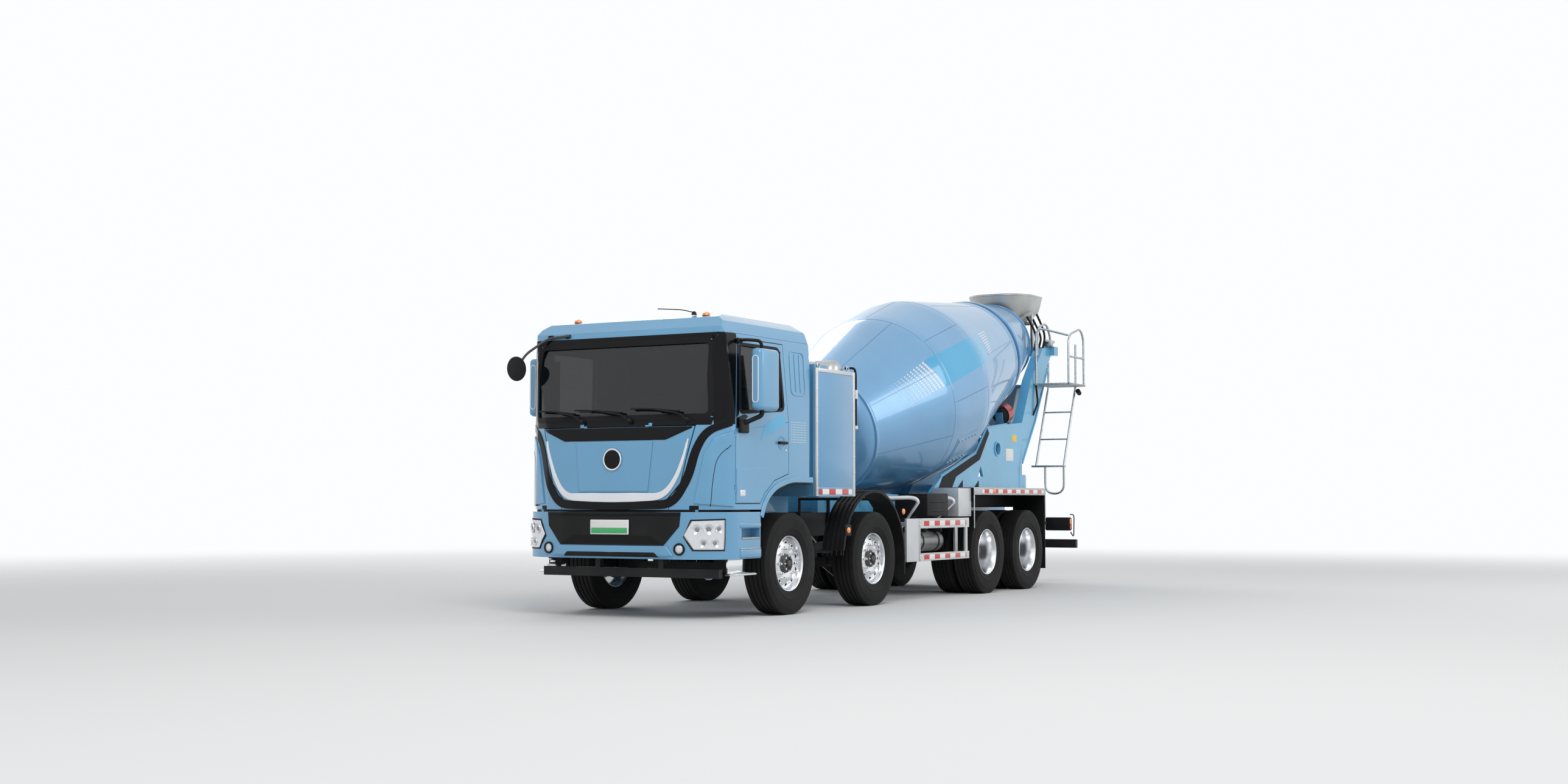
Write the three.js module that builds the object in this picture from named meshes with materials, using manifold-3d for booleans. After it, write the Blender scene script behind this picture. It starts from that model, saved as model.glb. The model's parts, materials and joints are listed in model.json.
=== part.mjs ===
// Four-axle concrete mixer truck. Millimetres, +Z up, front towards -Y, the truck's left towards +X.
// Lengths along Y are measured from the first axle, heights from the ground.
import * as THREE from 'three';
import { mergeVertices } from 'three/addons/utils/BufferGeometryUtils.js';
import Module from 'manifold-3d';

const wasm = await Module();
wasm.setup();

// ---- driving dimensions ----
const SEAT = 0.3;                 // gap between pieces bolted face to face
const PIN_GAP = 0.5;              // running gap at a pin's end face
const MOVE_GAP = 8;               // clearance round a door or lid

const AXLE_Y = [0, 1930, 5150, 6500];
const TYRE_R = 531;
const TYRE_W = 295;
const TYRE_OUTER_X = 1245;
const TWIN_TYRE_W = 280;
const TWIN_PITCH = 320;
const RIM_R = 290;
const RIM_BORE_R = 272;
const RIM_HALF = 118;
const DRUM_BRAKE_R = 205;
const WHEEL_SEG = 20;
const KINGPIN_INSET = 190;        // from the tyre's centre plane inwards

const RAIL_IN = 350;
const RAIL_OUT = 430;
const RAIL_LOW = 780;
const RAIL_TOP = 1050;
const RAIL_FRONT = -1290;
const RAIL_REAR = 7900;

const CAB_HALF = 1225;
const CAB_FRONT = -1470;
const CAB_REAR = 485;
const CAB_FLOOR = 1095;
const CAB_REAR_FLOOR = 1375;
const CAB_BELT = 2000;
const CAB_GUTTER = 2850;
const CAB_ROOF = 3150;
const CAB_WALL = 50;
const DOOR_FRONT = -1105;
const DOOR_REAR = -30;
const GLASS_INSET = 14;
const GLASS_T = 7;
const FLAP_TOP = 1925;
const FLAP_LOW = 1165;
const FLAP_T = 16;
const FLAP_GAP = 12;
const TILT_Y = -1250;
const TILT_Z = 700;
const LUG_T = 30;
const TILT_PIN = 15;              // how far a tilt pin stands out of its rail

const BUMPER_LOW = 605;
const BUMPER_TOP = 1072;
const BUMPER_T = 85;
const UNDERRUN_LOW = 410;
const LOW_TREAD_Z = 440;

const CABINET_FRONT = 530;
const CABINET_REAR = 1420;
const CABINET_LOW = 1234;
const CABINET_TOP = 2610;
const CABINET_HALF = 1245;
const CABINET_SIDE_T = 45;
const TANK_R = 150;

const SUBFRAME_TOP = 1230;
const SUBFRAME_FRONT = 2050;
const OUTRIGGER_HALF = 745;
const OUTRIGGER_Y = [4800, 5825, 6950];

const DRUM_TILT = THREE.MathUtils.degToRad(15.63);
const DRUM_Z = 1194;              // height of the drum axis above the first axle's station
const DRUM_WALL = 12;
const DRUM_ROOM = 20;             // clearance round the drum
const DRUM_FLANGE_S = 2755;       // stations run along the drum axis
const DRUM_HEAD_S = 3029;
const DRUM_HEAD_R = 752;
const SEAM_S = [4560, 5512];
const SEAM_R = [1134, 1188];
const RING_S = 7403;
const RING_R = 824;
const RING_W = 110;
const MOUTH_S = 8555;
const MOUTH_R = 569;
const DRUM_SEG = 32;
const ROLLER_R = 125;
const ROLLER_W = 130;
const ROLLER_NECK = 25;           // stub of a roller's shaft beside its face
const ROLLER_ANGLE = THREE.MathUtils.degToRad(32);

const PLATE_X = 700;              // inner face of the rear frame's side plates
const PLATE_T = 40;
const COLUMN_X = 560;
const HOPPER_Y = 8710;
const HOPPER_TOP = 4230;
const FUNNEL_Y = 8640;
const FUNNEL_TOP = 2890;
const FUNNEL_LOW = 2150;
const CHUTE_Z = 1750;             // height of the chute's tilt pin
const CHUTE_R = 220;
const CHUTE_LENGTH = 1000;
const CHUTE_SLOPE = THREE.MathUtils.degToRad(20);
const EXTENSION_LENGTH = 740;

const FENDER_X = 965;
const FENDER_OUT = 1240;
const FENDER_R = TYRE_R + 239;
const FENDER_T = 18;

// ---- helpers ----
const finish = (color, roughness, metalness) => (
  new THREE.MeshStandardMaterial({ color, roughness, metalness }));
const PAINT = finish(0x8fbce0, 0.28, 0.35);
const FRAME_PAINT = finish(0x8cc4ea, 0.35, 0.2);
const BLACK = finish(0x15171a, 0.55, 0.3);
const RUBBER = finish(0x111112, 0.9, 0);
const ALLOY = finish(0xd8dadc, 0.18, 1);
const STEEL = finish(0xb4b8bb, 0.35, 0.9);
const TRIM = finish(0x2a2c30, 0.75, 0);
const GLASS = finish(0x1c2226, 0.08, 0);

const truck = new THREE.Group();
truck.name = 'concrete_mixer_truck';

function solid(geometry) {
  const bare = geometry.index ? geometry.toNonIndexed() : geometry.clone();
  bare.deleteAttribute('normal');
  bare.deleteAttribute('uv');
  const merged = mergeVertices(bare, 1e-4);
  const mesh = new wasm.Mesh({
    numProp: 3,
    vertProperties: new Float32Array(merged.attributes.position.array),
    triVerts: new Uint32Array(merged.index.array),
  });
  return new wasm.Manifold(mesh);
}

function geometryOf(body) {
  const mesh = body.getMesh();
  const geometry = new THREE.BufferGeometry();
  geometry.setAttribute('position', new THREE.BufferAttribute(new Float32Array(mesh.vertProperties), 3));
  geometry.setIndex(new THREE.BufferAttribute(new Uint32Array(mesh.triVerts), 1));
  return geometry;
}

const join = (parts) => parts.reduce((whole, part) => whole.add(part));

function box([x0, x1], [y0, y1], [z0, z1]) {
  const block = new THREE.BoxGeometry(Math.abs(x1 - x0), Math.abs(y1 - y0), Math.abs(z1 - z0));
  return solid(block.translate((x0 + x1) / 2, (y0 + y1) / 2, (z0 + z1) / 2));
}

// A box and its mirror image across the centre plane.
const boxes = (x, y, z) => [box(x, y, z), box([-x[1], -x[0]], y, z)];

function rod(from, to, radius, sides = 10) {
  const a = new THREE.Vector3(...from);
  const b = new THREE.Vector3(...to);
  const bar = new THREE.CylinderGeometry(radius, radius, a.distanceTo(b), sides);
  const along = b.clone().sub(a).normalize();
  bar.applyQuaternion(new THREE.Quaternion().setFromUnitVectors(new THREE.Vector3(0, 1, 0), along));
  const middle = a.add(b).multiplyScalar(0.5);
  return solid(bar.translate(middle.x, middle.y, middle.z));
}

// Straight tubes through a list of points, each run a little past its bends so that they join.
function tube(points, radius, sides = 6) {
  const ends = points.map((point) => new THREE.Vector3(...point));
  const runs = ends.slice(1).map((to, i) => {
    const from = ends[i];
    const along = to.clone().sub(from).setLength(radius * 0.4);
    const start = i > 0 ? from.clone().sub(along) : from;
    const end = i < ends.length - 2 ? to.clone().add(along) : to;
    return rod(start.toArray(), end.toArray(), radius, sides);
  });
  return join(runs);
}

// A flat outline of [u, v] points carried along the axis that is left over.
function slab(points, axis, from, to) {
  const outline = new THREE.Shape(points.map(([u, v]) => new THREE.Vector2(u, v)));
  const plate = new THREE.ExtrudeGeometry(outline, { depth: to - from, bevelEnabled: false, steps: 1 });
  plate.translate(0, 0, from);
  if (axis === 'x') {
    plate.applyMatrix4(new THREE.Matrix4().set(0, 0, 1, 0, 1, 0, 0, 0, 0, 1, 0, 0, 0, 0, 0, 1));
  }
  if (axis === 'y') {
    plate.applyMatrix4(new THREE.Matrix4().set(-1, 0, 0, 0, 0, 0, 1, 0, 0, 1, 0, 0, 0, 0, 0, 1));
  }
  return solid(plate);
}
const slabX = (points, from, to) => slab(points, 'x', from, to);            // [y, z] points
const slabY = (points, from, to) => slab(points.map(([x, z]) => [-x, z]), 'y', from, to);   // [x, z] points
const slabZ = (points, from, to) => slab(points, 'z', from, to);            // [x, y] points

// Mirrors a half outline, given from the centre plane outwards, into a whole one.
const mirrored = (half) => [
  ...half, ...half.slice().reverse().filter(([x]) => x > 0).map(([x, v]) => [-x, v])];

// Moves every edge of an outline inwards by a distance.
function inset(points, distance) {
  const area = points.reduce((sum, [x, y], i) => {
    const [nx, ny] = points[(i + 1) % points.length];
    return sum + x * ny - nx * y;
  }, 0);
  const side = Math.sign(area) * distance;
  return points.map((point, i) => {
    const before = points[(i + points.length - 1) % points.length];
    const after = points[(i + 1) % points.length];
    const a = new THREE.Vector2(point[0] - before[0], point[1] - before[1]).normalize();
    const b = new THREE.Vector2(after[0] - point[0], after[1] - point[1]).normalize();
    const mitre = new THREE.Vector2(-a.y - b.y, a.x + b.x);
    mitre.multiplyScalar(side * 2 / mitre.lengthSq());
    return [point[0] + mitre.x, point[1] + mitre.y];
  });
}

// Turns a closed [radius, station] profile round the Y axis.
function turned(profile, segments) {
  const points = profile.map(([r, s]) => new THREE.Vector2(r, s));
  if (profile[0][0] > 0) points.push(points[0].clone());
  const body = solid(new THREE.LatheGeometry(points, segments));
  return body.volume() > 0 ? body : solid(new THREE.LatheGeometry(points.reverse(), segments));
}

// The same profile turned round the X axis, with stations along +X.
const turnedX = (profile, segments) => turned(profile, segments).rotate([0, 0, -90]);

// Arc points about a centre, from one angle to another in degrees.
function arc([cu, cv], radius, from, to, steps) {
  return Array.from({ length: steps + 1 }, (_, i) => {
    const angle = THREE.MathUtils.degToRad(from + (to - from) * i / steps);
    return [cu + radius * Math.cos(angle), cv + radius * Math.sin(angle)];
  });
}

function add(name, body, material, position = [0, 0, 0], parent = truck) {
  const mesh = new THREE.Mesh(geometryOf(body), material.clone());
  mesh.name = name;
  mesh.position.set(...position);
  parent.add(mesh);
  return mesh;
}

// Places a body built in the drum's own frame, with Y along its axis, into the truck.
const onDrumAxis = (body) => (
  body.rotate([THREE.MathUtils.radToDeg(DRUM_TILT), 0, 0]).translate([0, 0, DRUM_Z]));

// A solid through closed sections of equal point counts, listed from its foot to its top.
function loft(sections) {
  const count = sections[0].length;
  const positions = sections.flat(2);
  const faces = [];
  for (let k = 0; k < sections.length - 1; k += 1) {
    for (let i = 0; i < count; i += 1) {
      const a = k * count + i;
      const b = k * count + (i + 1) % count;
      faces.push(a, b, b + count, a, b + count, a + count);
    }
  }
  const last = (sections.length - 1) * count;
  for (let i = 1; i < count - 1; i += 1) {
    faces.push(0, i + 1, i, last, last + i, last + i + 1);
  }
  const geometry = new THREE.BufferGeometry();
  geometry.setAttribute('position', new THREE.BufferAttribute(new Float32Array(positions), 3));
  geometry.setIndex(faces);
  return solid(geometry);
}

// A rectangle with cut corners at one height, as a loft section.
function cutRectangle(halfX, halfY, centreY, z, corner) {
  const c = corner;
  return [[halfX - c, -halfY], [halfX, -halfY + c], [halfX, halfY - c], [halfX - c, halfY],
    [-halfX + c, halfY], [-halfX, halfY - c], [-halfX, -halfY + c], [-halfX + c, -halfY],
  ].map(([x, y]) => [x, centreY + y, z]);
}

// ---- wheels, tyres and axles ----
const SINGLE_X = TYRE_OUTER_X - TYRE_W / 2;
const TWIN_X = TYRE_OUTER_X - TWIN_TYRE_W / 2 - TWIN_PITCH / 2;
const KINGPIN_X = SINGLE_X - KINGPIN_INSET;
const BEAD_HALF = RIM_HALF - 6;
const BEAD_R = RIM_R + SEAT;
const SIDES = [['left', 1], ['right', -1]];

// A tyre's outline from one bead over its widest point and tread to the other bead.
const tyreOutline = (centre, width) => [
  [BEAD_R, centre - BEAD_HALF],
  [TYRE_R * 0.82, centre - width / 2],
  [TYRE_R, centre - width * 0.41],
  [TYRE_R, centre + width * 0.41],
  [TYRE_R * 0.82, centre + width / 2],
  [BEAD_R, centre + BEAD_HALF],
];

const singleTyre = () => turnedX(tyreOutline(0, TYRE_W), WHEEL_SEG);

// Two tyres on one hub, joined by the spacer band between their rims.
function twinTyre() {
  const half = TWIN_PITCH / 2;
  const bandR = BEAD_R + 14;
  const [inner, outer] = [-half, half].map((centre) => tyreOutline(centre, TWIN_TYRE_W));
  const band = [[bandR, -half + BEAD_HALF], [bandR, half - BEAD_HALF]];
  return turnedX([...inner.slice(0, -1), ...band, ...outer.slice(1)], WHEEL_SEG);
}

const HUB_END = 118;
const HUB_BACK = -90;

// Steered wheel: hub, convex disc, rim and the brake drum behind it.
const singleWheel = () => turnedX([
  [0, HUB_END], [95, HUB_END], [95, 75], [235, 75], [RIM_BORE_R, 42], [RIM_BORE_R, RIM_HALF],
  [RIM_R, RIM_HALF], [RIM_R, -RIM_HALF], [RIM_BORE_R, -RIM_HALF], [RIM_BORE_R - 6, 20],
  [DRUM_BRAKE_R, 20], [DRUM_BRAKE_R, HUB_BACK], [0, HUB_BACK]], WHEEL_SEG);

const TWIN_HUB_END = 150;
const TWIN_HUB_BACK = -305;

// Driven wheel pair: deep outer dish, hub and brake drum.
function twinWheel() {
  const flange = TWIN_PITCH / 2 + RIM_HALF;
  return turnedX([
    [0, TWIN_HUB_END], [95, TWIN_HUB_END], [115, 15], [262, 15], [RIM_BORE_R, flange],
    [RIM_R, flange], [RIM_R, -flange], [RIM_BORE_R, -flange], [262, -15],
    [DRUM_BRAKE_R, -15], [DRUM_BRAKE_R, TWIN_HUB_BACK], [0, TWIN_HUB_BACK]], WHEEL_SEG);
}

const FIST_HALF = 84.5;
const LUG_LOW = FIST_HALF + PIN_GAP;

// Steering knuckle: a fork round the axle's fist, the brake's back plate and the spindle's root.
function knuckle() {
  const plateFace = KINGPIN_INSET + HUB_BACK;
  return join([
    box([45, 86], [-60, 60], [-125, 125]),
    box([-50, 60], [-58, 58], [LUG_LOW, 125]),
    box([-50, 60], [-58, 58], [-125, -LUG_LOW]),
    rod([78, 0, 0], [plateFace - 6, 0, 0], DRUM_BRAKE_R - 12, 20),
    rod([80, 0, 0], [plateFace - PIN_GAP, 0, 0], 60, 12),
  ]);
}

const SPRING_X = [345, 435];
const BEAM_TOP = TYRE_R - 1;

// Leaf spring of a front axle: its eyes seat under the rail, its middle on the beam.
function frontSpring(y, [x0, x1]) {
  const top = RAIL_LOW - SEAT;
  const eye = RAIL_LOW - 50;
  const low = TYRE_R + 67;
  const leaf = [[-720, top], [-720, eye], [-400, low + 50], [0, low], [400, low + 50], [720, eye],
    [720, top], [655, top], [400, low + 117], [0, low + 74], [-400, low + 117], [-655, top]];
  return slabX(leaf.map(([v, z]) => [y + v, z]), x0, x1);
}

function steeredAxle(y) {
  const parts = [box([-640, 640], [y - 55, y + 55], [BEAM_TOP - 100, BEAM_TOP])];
  for (const [, sign] of SIDES) {
    const fist = sign * KINGPIN_X;
    const inner = sign * 590;
    parts.push(box([Math.min(inner, fist - sign * 10), Math.max(inner, fist - sign * 10)],
      [y - 42, y + 42], [TYRE_R - 70, TYRE_R + 55]));
    parts.push(rod([fist, y, TYRE_R - FIST_HALF], [fist, y, TYRE_R + FIST_HALF], 44, 12));
    const springX = sign > 0 ? SPRING_X : [-SPRING_X[1], -SPRING_X[0]];
    parts.push(frontSpring(y, springX));
    parts.push(box(springX, [y - 90, y + 90], [BEAM_TOP - 5, BEAM_TOP + 82]));
  }
  return join(parts);
}

const AXLE_TUBE_R = 85;
const AXLE_TUBE_HALF = TWIN_X + TWIN_HUB_BACK - PIN_GAP;
const NOSE_Z = TYRE_R + 35;
const NOSE_FRONT = AXLE_Y[2] - 420;
const MID_SHAFT_Y = AXLE_Y[2] + 330;

// Driven axle: tube, the bevel gear's housing and the noses that take the shafts.
function drivenAxle(y, noseFront, noseRear) {
  const housing = turnedX([[0, -175], [150, -175], [228, -70], [228, 70], [150, 175], [0, 175]], 16);
  const parts = [
    rod([-AXLE_TUBE_HALF, y, TYRE_R], [AXLE_TUBE_HALF, y, TYRE_R], AXLE_TUBE_R),
    housing.translate([0, y, TYRE_R]),
    rod([0, noseFront, NOSE_Z], [0, y - 60, NOSE_Z], noseRear ? 80 : 58),
  ];
  if (noseRear) parts.push(rod([0, y + 60, NOSE_Z], [0, noseRear, NOSE_Z], 80));
  return join(parts);
}

const TRUNNION_Y = (AXLE_Y[2] + AXLE_Y[3]) / 2;
const TRUNNION_Z = TYRE_R - 91;
const TRUNNION_R = 55;

// Balancing leaf springs of the rear axle pair on their common cross shaft.
function rearSprings() {
  const seat = TYRE_R + AXLE_TUBE_R + SEAT;
  const [front, rear] = [AXLE_Y[2], AXLE_Y[3]];
  const middle = TYRE_R + 129;
  const leaf = [[front - 110, seat], [front + 110, seat], [front + 350, middle - 18], [TRUNNION_Y, middle],
    [rear - 350, middle - 18], [rear - 110, seat], [rear + 110, seat], [rear + 110, seat + 30],
    [rear - 200, middle + 40], [TRUNNION_Y, middle + 105], [front + 200, middle + 40],
    [front - 110, seat + 30]];
  return join([
    slabX(leaf, 448, 535), slabX(leaf, -535, -448),
    ...boxes([448, 535], [TRUNNION_Y - 70, TRUNNION_Y + 70], [TRUNNION_Z, middle + 10]),
    rod([-535, TRUNNION_Y, TRUNNION_Z], [535, TRUNNION_Y, TRUNNION_Z], TRUNNION_R)]);
}

function buildRunningGear() {
  AXLE_Y.forEach((y, index) => {
    const number = index + 1;
    const steered = index < 2;
    for (const [side, sign] of SIDES) {
      const facing = (body) => (sign > 0 ? body : body.mirror([1, 0, 0]));
      const x = sign * (steered ? SINGLE_X : TWIN_X);
      add(`tyre_${number}_${side}`, facing(steered ? singleTyre() : twinTyre()), RUBBER, [x, y, TYRE_R]);
      add(`wheel_${number}_${side}`, facing(steered ? singleWheel() : twinWheel()), ALLOY, [x, y, TYRE_R]);
      if (steered) add(`knuckle_${number}_${side}`, facing(knuckle()), BLACK, [sign * KINGPIN_X, y, TYRE_R]);
    }
  });
  add('axle_1', steeredAxle(AXLE_Y[0]), BLACK);
  add('axle_2', steeredAxle(AXLE_Y[1]), BLACK);
  add('axle_3', drivenAxle(AXLE_Y[2], NOSE_FRONT, MID_SHAFT_Y - SEAT), BLACK);
  add('axle_4', drivenAxle(AXLE_Y[3], MID_SHAFT_Y), BLACK);
  add('rear_springs', rearSprings(), BLACK);
}

// ---- chassis ----
const MOTOR_Y = [840, 1660];
const CROSS_Y = [-1140, MOTOR_Y[0] - 40, MOTOR_Y[1] + 40, 2900, 3900, 4520, TRUNNION_Y, 7000, RAIL_REAR - 40];
const REAR_BAR_Y = 8415;

function chassisFrame() {
  const rails = [RAIL_IN, RAIL_OUT];
  const underrun = { y: [-1180, -1110], half: 1080, height: 92 };
  const posts = boxes(rails, [CAB_REAR - 95, CAB_REAR - 25], [RAIL_TOP - 10, CAB_REAR_FLOOR - SEAT]);
  const tiltBrackets = boxes(rails, [RAIL_FRONT, TILT_Y + 50], [TILT_Z - 50, RAIL_LOW + 10]);
  const tiltPins = SIDES.map(([, sign]) => rod(
    [sign * (RAIL_OUT - 5), TILT_Y, TILT_Z], [sign * (RAIL_OUT + TILT_PIN), TILT_Y, TILT_Z], 30));
  const rearArm = [[7650, 800], [7890, 800], [REAR_BAR_Y, 640], [REAR_BAR_Y, 530], [8330, 530], [7650, 720]];
  return join([
    ...boxes(rails, [RAIL_FRONT, RAIL_REAR], [RAIL_LOW, RAIL_TOP]),
    ...CROSS_Y.map((y) => box([-RAIL_IN - 1, RAIL_IN + 1], [y - 40, y + 40], [830, 1000])),
    ...posts,
    box([-RAIL_IN - 1, RAIL_IN + 1], [CAB_REAR - 90, CAB_REAR - 30], [1200, 1260]),
    ...tiltBrackets,
    ...tiltPins,
    box([-underrun.half, underrun.half], underrun.y, [UNDERRUN_LOW, UNDERRUN_LOW + underrun.height]),
    ...boxes([RAIL_IN + 10, RAIL_OUT - 10], underrun.y, [UNDERRUN_LOW + 80, RAIL_LOW + 10]),
    ...boxes(rails, [TRUNNION_Y - 90, TRUNNION_Y + 90], [TRUNNION_Z + TRUNNION_R + SEAT, RAIL_LOW + 10]),
    slabX(rearArm, RAIL_IN + 10, RAIL_OUT - 10),
    slabX(rearArm, -RAIL_OUT + 10, -RAIL_IN - 10),
    box([-1200, 1200], [REAR_BAR_Y - 35, REAR_BAR_Y + 35], [510, 632]),
  ]);
}

// Drive motor between two cross-members, with the shaft that runs back to the third axle.
function driveline() {
  return join([
    box([-240, 240], [MOTOR_Y[0] + SEAT, MOTOR_Y[1] - SEAT], [560, 980]),
    rod([0, MOTOR_Y[1] - 10, 640], [0, MOTOR_Y[1] + 120, 640], 95),
    rod([0, MOTOR_Y[1] + 100, 640], [0, NOSE_FRONT - 90, NOSE_Z], 55),
    rod([0, NOSE_FRONT - 110, NOSE_Z], [0, NOSE_FRONT - SEAT, NOSE_Z], 75),
  ]);
}

const SUBFRAME_CROSS_Y = [2100, 2680, 3300, 4000, 7560];

function mixerSubframe() {
  const low = RAIL_TOP + SEAT;
  const seat = onDrumAxis(box([-290, 290], [2380, 2620], [-262, -230 - SEAT]));
  const cheek = [[2090, 1220], [2710, 1220], [2600, 1660], [2366, 1594]];
  return join([
    ...boxes([RAIL_IN, RAIL_OUT], [SUBFRAME_FRONT, 7600], [low, SUBFRAME_TOP]),
    ...SUBFRAME_CROSS_Y.map((y) => box(
      [-RAIL_IN - 1, RAIL_IN + 1], [y - 40, y + 40], [low + 50, SUBFRAME_TOP])),
    ...OUTRIGGER_Y.map((y) => box(
      [-OUTRIGGER_HALF, OUTRIGGER_HALF], [y - 50, y + 50], [low + 55, SUBFRAME_TOP])),
    slabX(cheek, 250, 290), slabX(cheek, -290, -250),
    ...boxes([249, RAIL_OUT], [2095, 2705], [SUBFRAME_TOP - 20, SUBFRAME_TOP + 12]),
    seat,
  ]);
}

function guard(sign) {
  const x = sign > 0 ? [1205, 1235] : [-1235, -1205];
  const arm = sign > 0 ? [RAIL_OUT + SEAT, 1206] : [-1206, -RAIL_OUT - SEAT];
  return join([
    box(x, [2760, 3110], [465, 975]),
    box(x, [3100, 4550], [855, 975]),
    box(x, [3100, 4550], [465, 560]),
    box(x, [4440, 4500], [550, 860]),
    ...[3000, 4420].map((y) => box(arm, [y - 25, y + 25], [880, 930])),
  ]);
}

const FENDER_ROD_Y = 350;

// Half-round fender over a single wheel, with its flap and the two rods that carry it.
function singleFender(y, sign) {
  const centre = [y, TYRE_R];
  const shell = [...arc(centre, FENDER_R, 8, 180, 11), [y - FENDER_R, 330], [y - FENDER_R + FENDER_T, 330],
    ...arc(centre, FENDER_R - FENDER_T, 180, 8, 11)];
  const flipped = shell.map(([v, z]) => [2 * y - v, z]);
  const rodZ = TYRE_R + Math.sqrt((FENDER_R - FENDER_T / 2) ** 2 - FENDER_ROD_Y ** 2);
  const rodR = 17;
  const x = RAIL_OUT + SEAT + rodR;
  const parts = [slabX(flipped, FENDER_X, FENDER_OUT)];
  for (const v of [-FENDER_ROD_Y, FENDER_ROD_Y]) {
    parts.push(box([RAIL_OUT + SEAT, x], [y + v - 30, y + v + 30], [890, 970]));
    parts.push(tube([[x, y + v, 900], [x, y + v, rodZ], [FENDER_X + 20, y + v, rodZ]], rodR));
  }
  const body = join(parts);
  return sign > 0 ? body : body.mirror([1, 0, 0]);
}

const REAR_FENDER = { front: 4700, rear: 7110, top: 1350, inner: 765, flapLow: 260 };

// Flat-topped fender over the rear wheel pair, with its front drop, mud flap and two brackets.
function rearFender(sign) {
  const { front, rear, top, inner, flapLow } = REAR_FENDER;
  const t = 20;
  const shell = [[front, 1180], [front, top], [rear, top], [rear, flapLow], [rear - t, flapLow],
    [rear - t, top - t], [front + t, top - t], [front + t, 1180]];
  const parts = [slabX(shell, inner, FENDER_OUT)];
  for (const y of [5300, 6300]) {
    parts.push(box([RAIL_OUT + SEAT, inner + 20], [y - 25, y + 25], [1150, 1215]));
    parts.push(box([inner, inner + 20], [y - 25, y + 25], [1150, top - 5]));
  }
  const body = join(parts);
  return sign > 0 ? body : body.mirror([1, 0, 0]);
}

// Compressed-air tanks on their carrier, with the valve box above.
function airTanks() {
  const x = RAIL_OUT + SEAT;
  return join([
    box([x, 700], [3600, 4150], [860, 1000]),
    box([x, 1060], [3640, 3680], [640, 880]),
    box([x, 1060], [4080, 4120], [640, 880]),
    rod([900, 3450, 690], [900, 4280, 690], 125, 14),
    rod([620, 3450, 690], [620, 4280, 690], 125, 14),
  ]);
}

function buildChassis() {
  add('chassis_frame', chassisFrame(), BLACK);
  add('driveline', driveline(), BLACK);
  add('mixer_subframe', mixerSubframe(), FRAME_PAINT);
  add('air_tanks', airTanks(), STEEL);
  for (const [side, sign] of SIDES) {
    add(`side_guard_${side}`, guard(sign), STEEL);
    add(`mid_fender_${side}`, singleFender(AXLE_Y[1], sign), TRIM);
    add(`rear_fender_${side}`, rearFender(sign), TRIM);
  }
}

// ---- cab ----
const CAB_SIDE = [[CAB_FRONT, CAB_FLOOR], [-1450, 1800], [-1410, 1965], [-1262, CAB_GUTTER], [-1240, 2925],
  [-1130, 3035], [-850, 3095], [-300, 3138], [200, CAB_ROOF], [400, 3105], [CAB_REAR, 2960],
  [CAB_REAR, CAB_REAR_FLOOR], [0, CAB_REAR_FLOOR], [-330, 1290], [-520, 1180], [-600, CAB_FLOOR]];
const CAB_PLAN = mirrored([[0, CAB_FRONT - 5], [CAB_HALF - 725, -1465], [CAB_HALF - 375, -1420],
  [CAB_HALF - 175, -1330], [CAB_HALF - 45, -1200], [CAB_HALF, DOOR_FRONT], [CAB_HALF, 400],
  [CAB_HALF - 35, CAB_REAR], [0, CAB_REAR]]);
const GUTTER_HALF = CAB_HALF - 55;
const CAB_SECTION = mirrored([[0, 900], [CAB_HALF, 900], [CAB_HALF, CAB_BELT], [GUTTER_HALF, CAB_GUTTER],
  [CAB_HALF - 105, 2985], [CAB_HALF - 245, 3070], [CAB_HALF - 625, 3128], [0, CAB_ROOF + 6]]);

// The cab's outer form moved inwards by a distance.
function cabForm(distance) {
  const side = slabX(inset(CAB_SIDE, distance), -CAB_HALF - 50, CAB_HALF + 50);
  const plan = slabZ(inset(CAB_PLAN, distance), 800, 3300);
  const section = slabY(inset(CAB_SECTION, distance), -1600, 600);
  return side.intersect(plan).intersect(section);
}

const cabLayer = (outer, inner) => cabForm(outer).subtract(cabForm(inner));

const DOOR_LOW = CAB_FLOOR + CAB_WALL + 5;

// Door outline seen from the side: upright front edge, raked pillar, rear corner cut by the wheel arch.
const DOOR_OUTLINE = [[DOOR_FRONT, DOOR_LOW], [-622, DOOR_LOW], [-520, 1262], [-330, 1388], [DOOR_REAR, 1462],
  [DOOR_REAR, CAB_BELT], [-75, 2822], [-1000, 2822], [DOOR_FRONT, CAB_BELT]];
const DOOR_WINDOW = [[-1015, 2068], [-125, 2130], [-165, 2762], [-950, 2762]];
const SCREEN_OUTLINE = mirrored([[0, 2020], [CAB_HALF - 140, 2020], [CAB_HALF - 170, 2785], [0, 2785]]);
const FLAP_OUTLINE = mirrored([[0, FLAP_LOW], [CAB_HALF - 625, FLAP_LOW], [CAB_HALF - 445, 1360],
  [CAB_HALF - 365, 1690], [CAB_HALF - 305, FLAP_TOP], [0, FLAP_TOP]]);
const HINGE_X = CAB_HALF - 4;
const HINGE_Y = DOOR_FRONT + MOVE_GAP / 2;
const HINGE_R = 9;
const HINGE_Z = [1300, 1850];
const HINGE_HALF = 30;

const FLAP_HINGE = { x: 400, y: -1425, z: FLAP_TOP + MOVE_GAP + 2, radius: 8, length: 40 };
const HINGE_TAB = 28;             // height of a hinge's tab on its panel
const HINGE_ROOM = 6;             // room round a barrel that turns

// One leaf of the flap's hinge: a barrel along X and the tab that ties it to its panel.
function flapHinge(x0, x1, tabZ, tabY) {
  const { y, z, radius } = FLAP_HINGE;
  return rod([x0, y, z], [x1, y, z], radius, 8).add(box([x0, x1], [y, tabY], tabZ));
}
const lidHinge = () => {
  const { x, z, length } = FLAP_HINGE;
  return flapHinge(x - length, x - PIN_GAP, [FLAP_TOP + 6 - HINGE_TAB, z], FLAP_HINGE.y + 13);
};
const bodyHinge = () => {
  const { x, z, length } = FLAP_HINGE;
  return flapHinge(x, x + length, [z, z + HINGE_TAB], FLAP_HINGE.y + 23);
};

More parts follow.
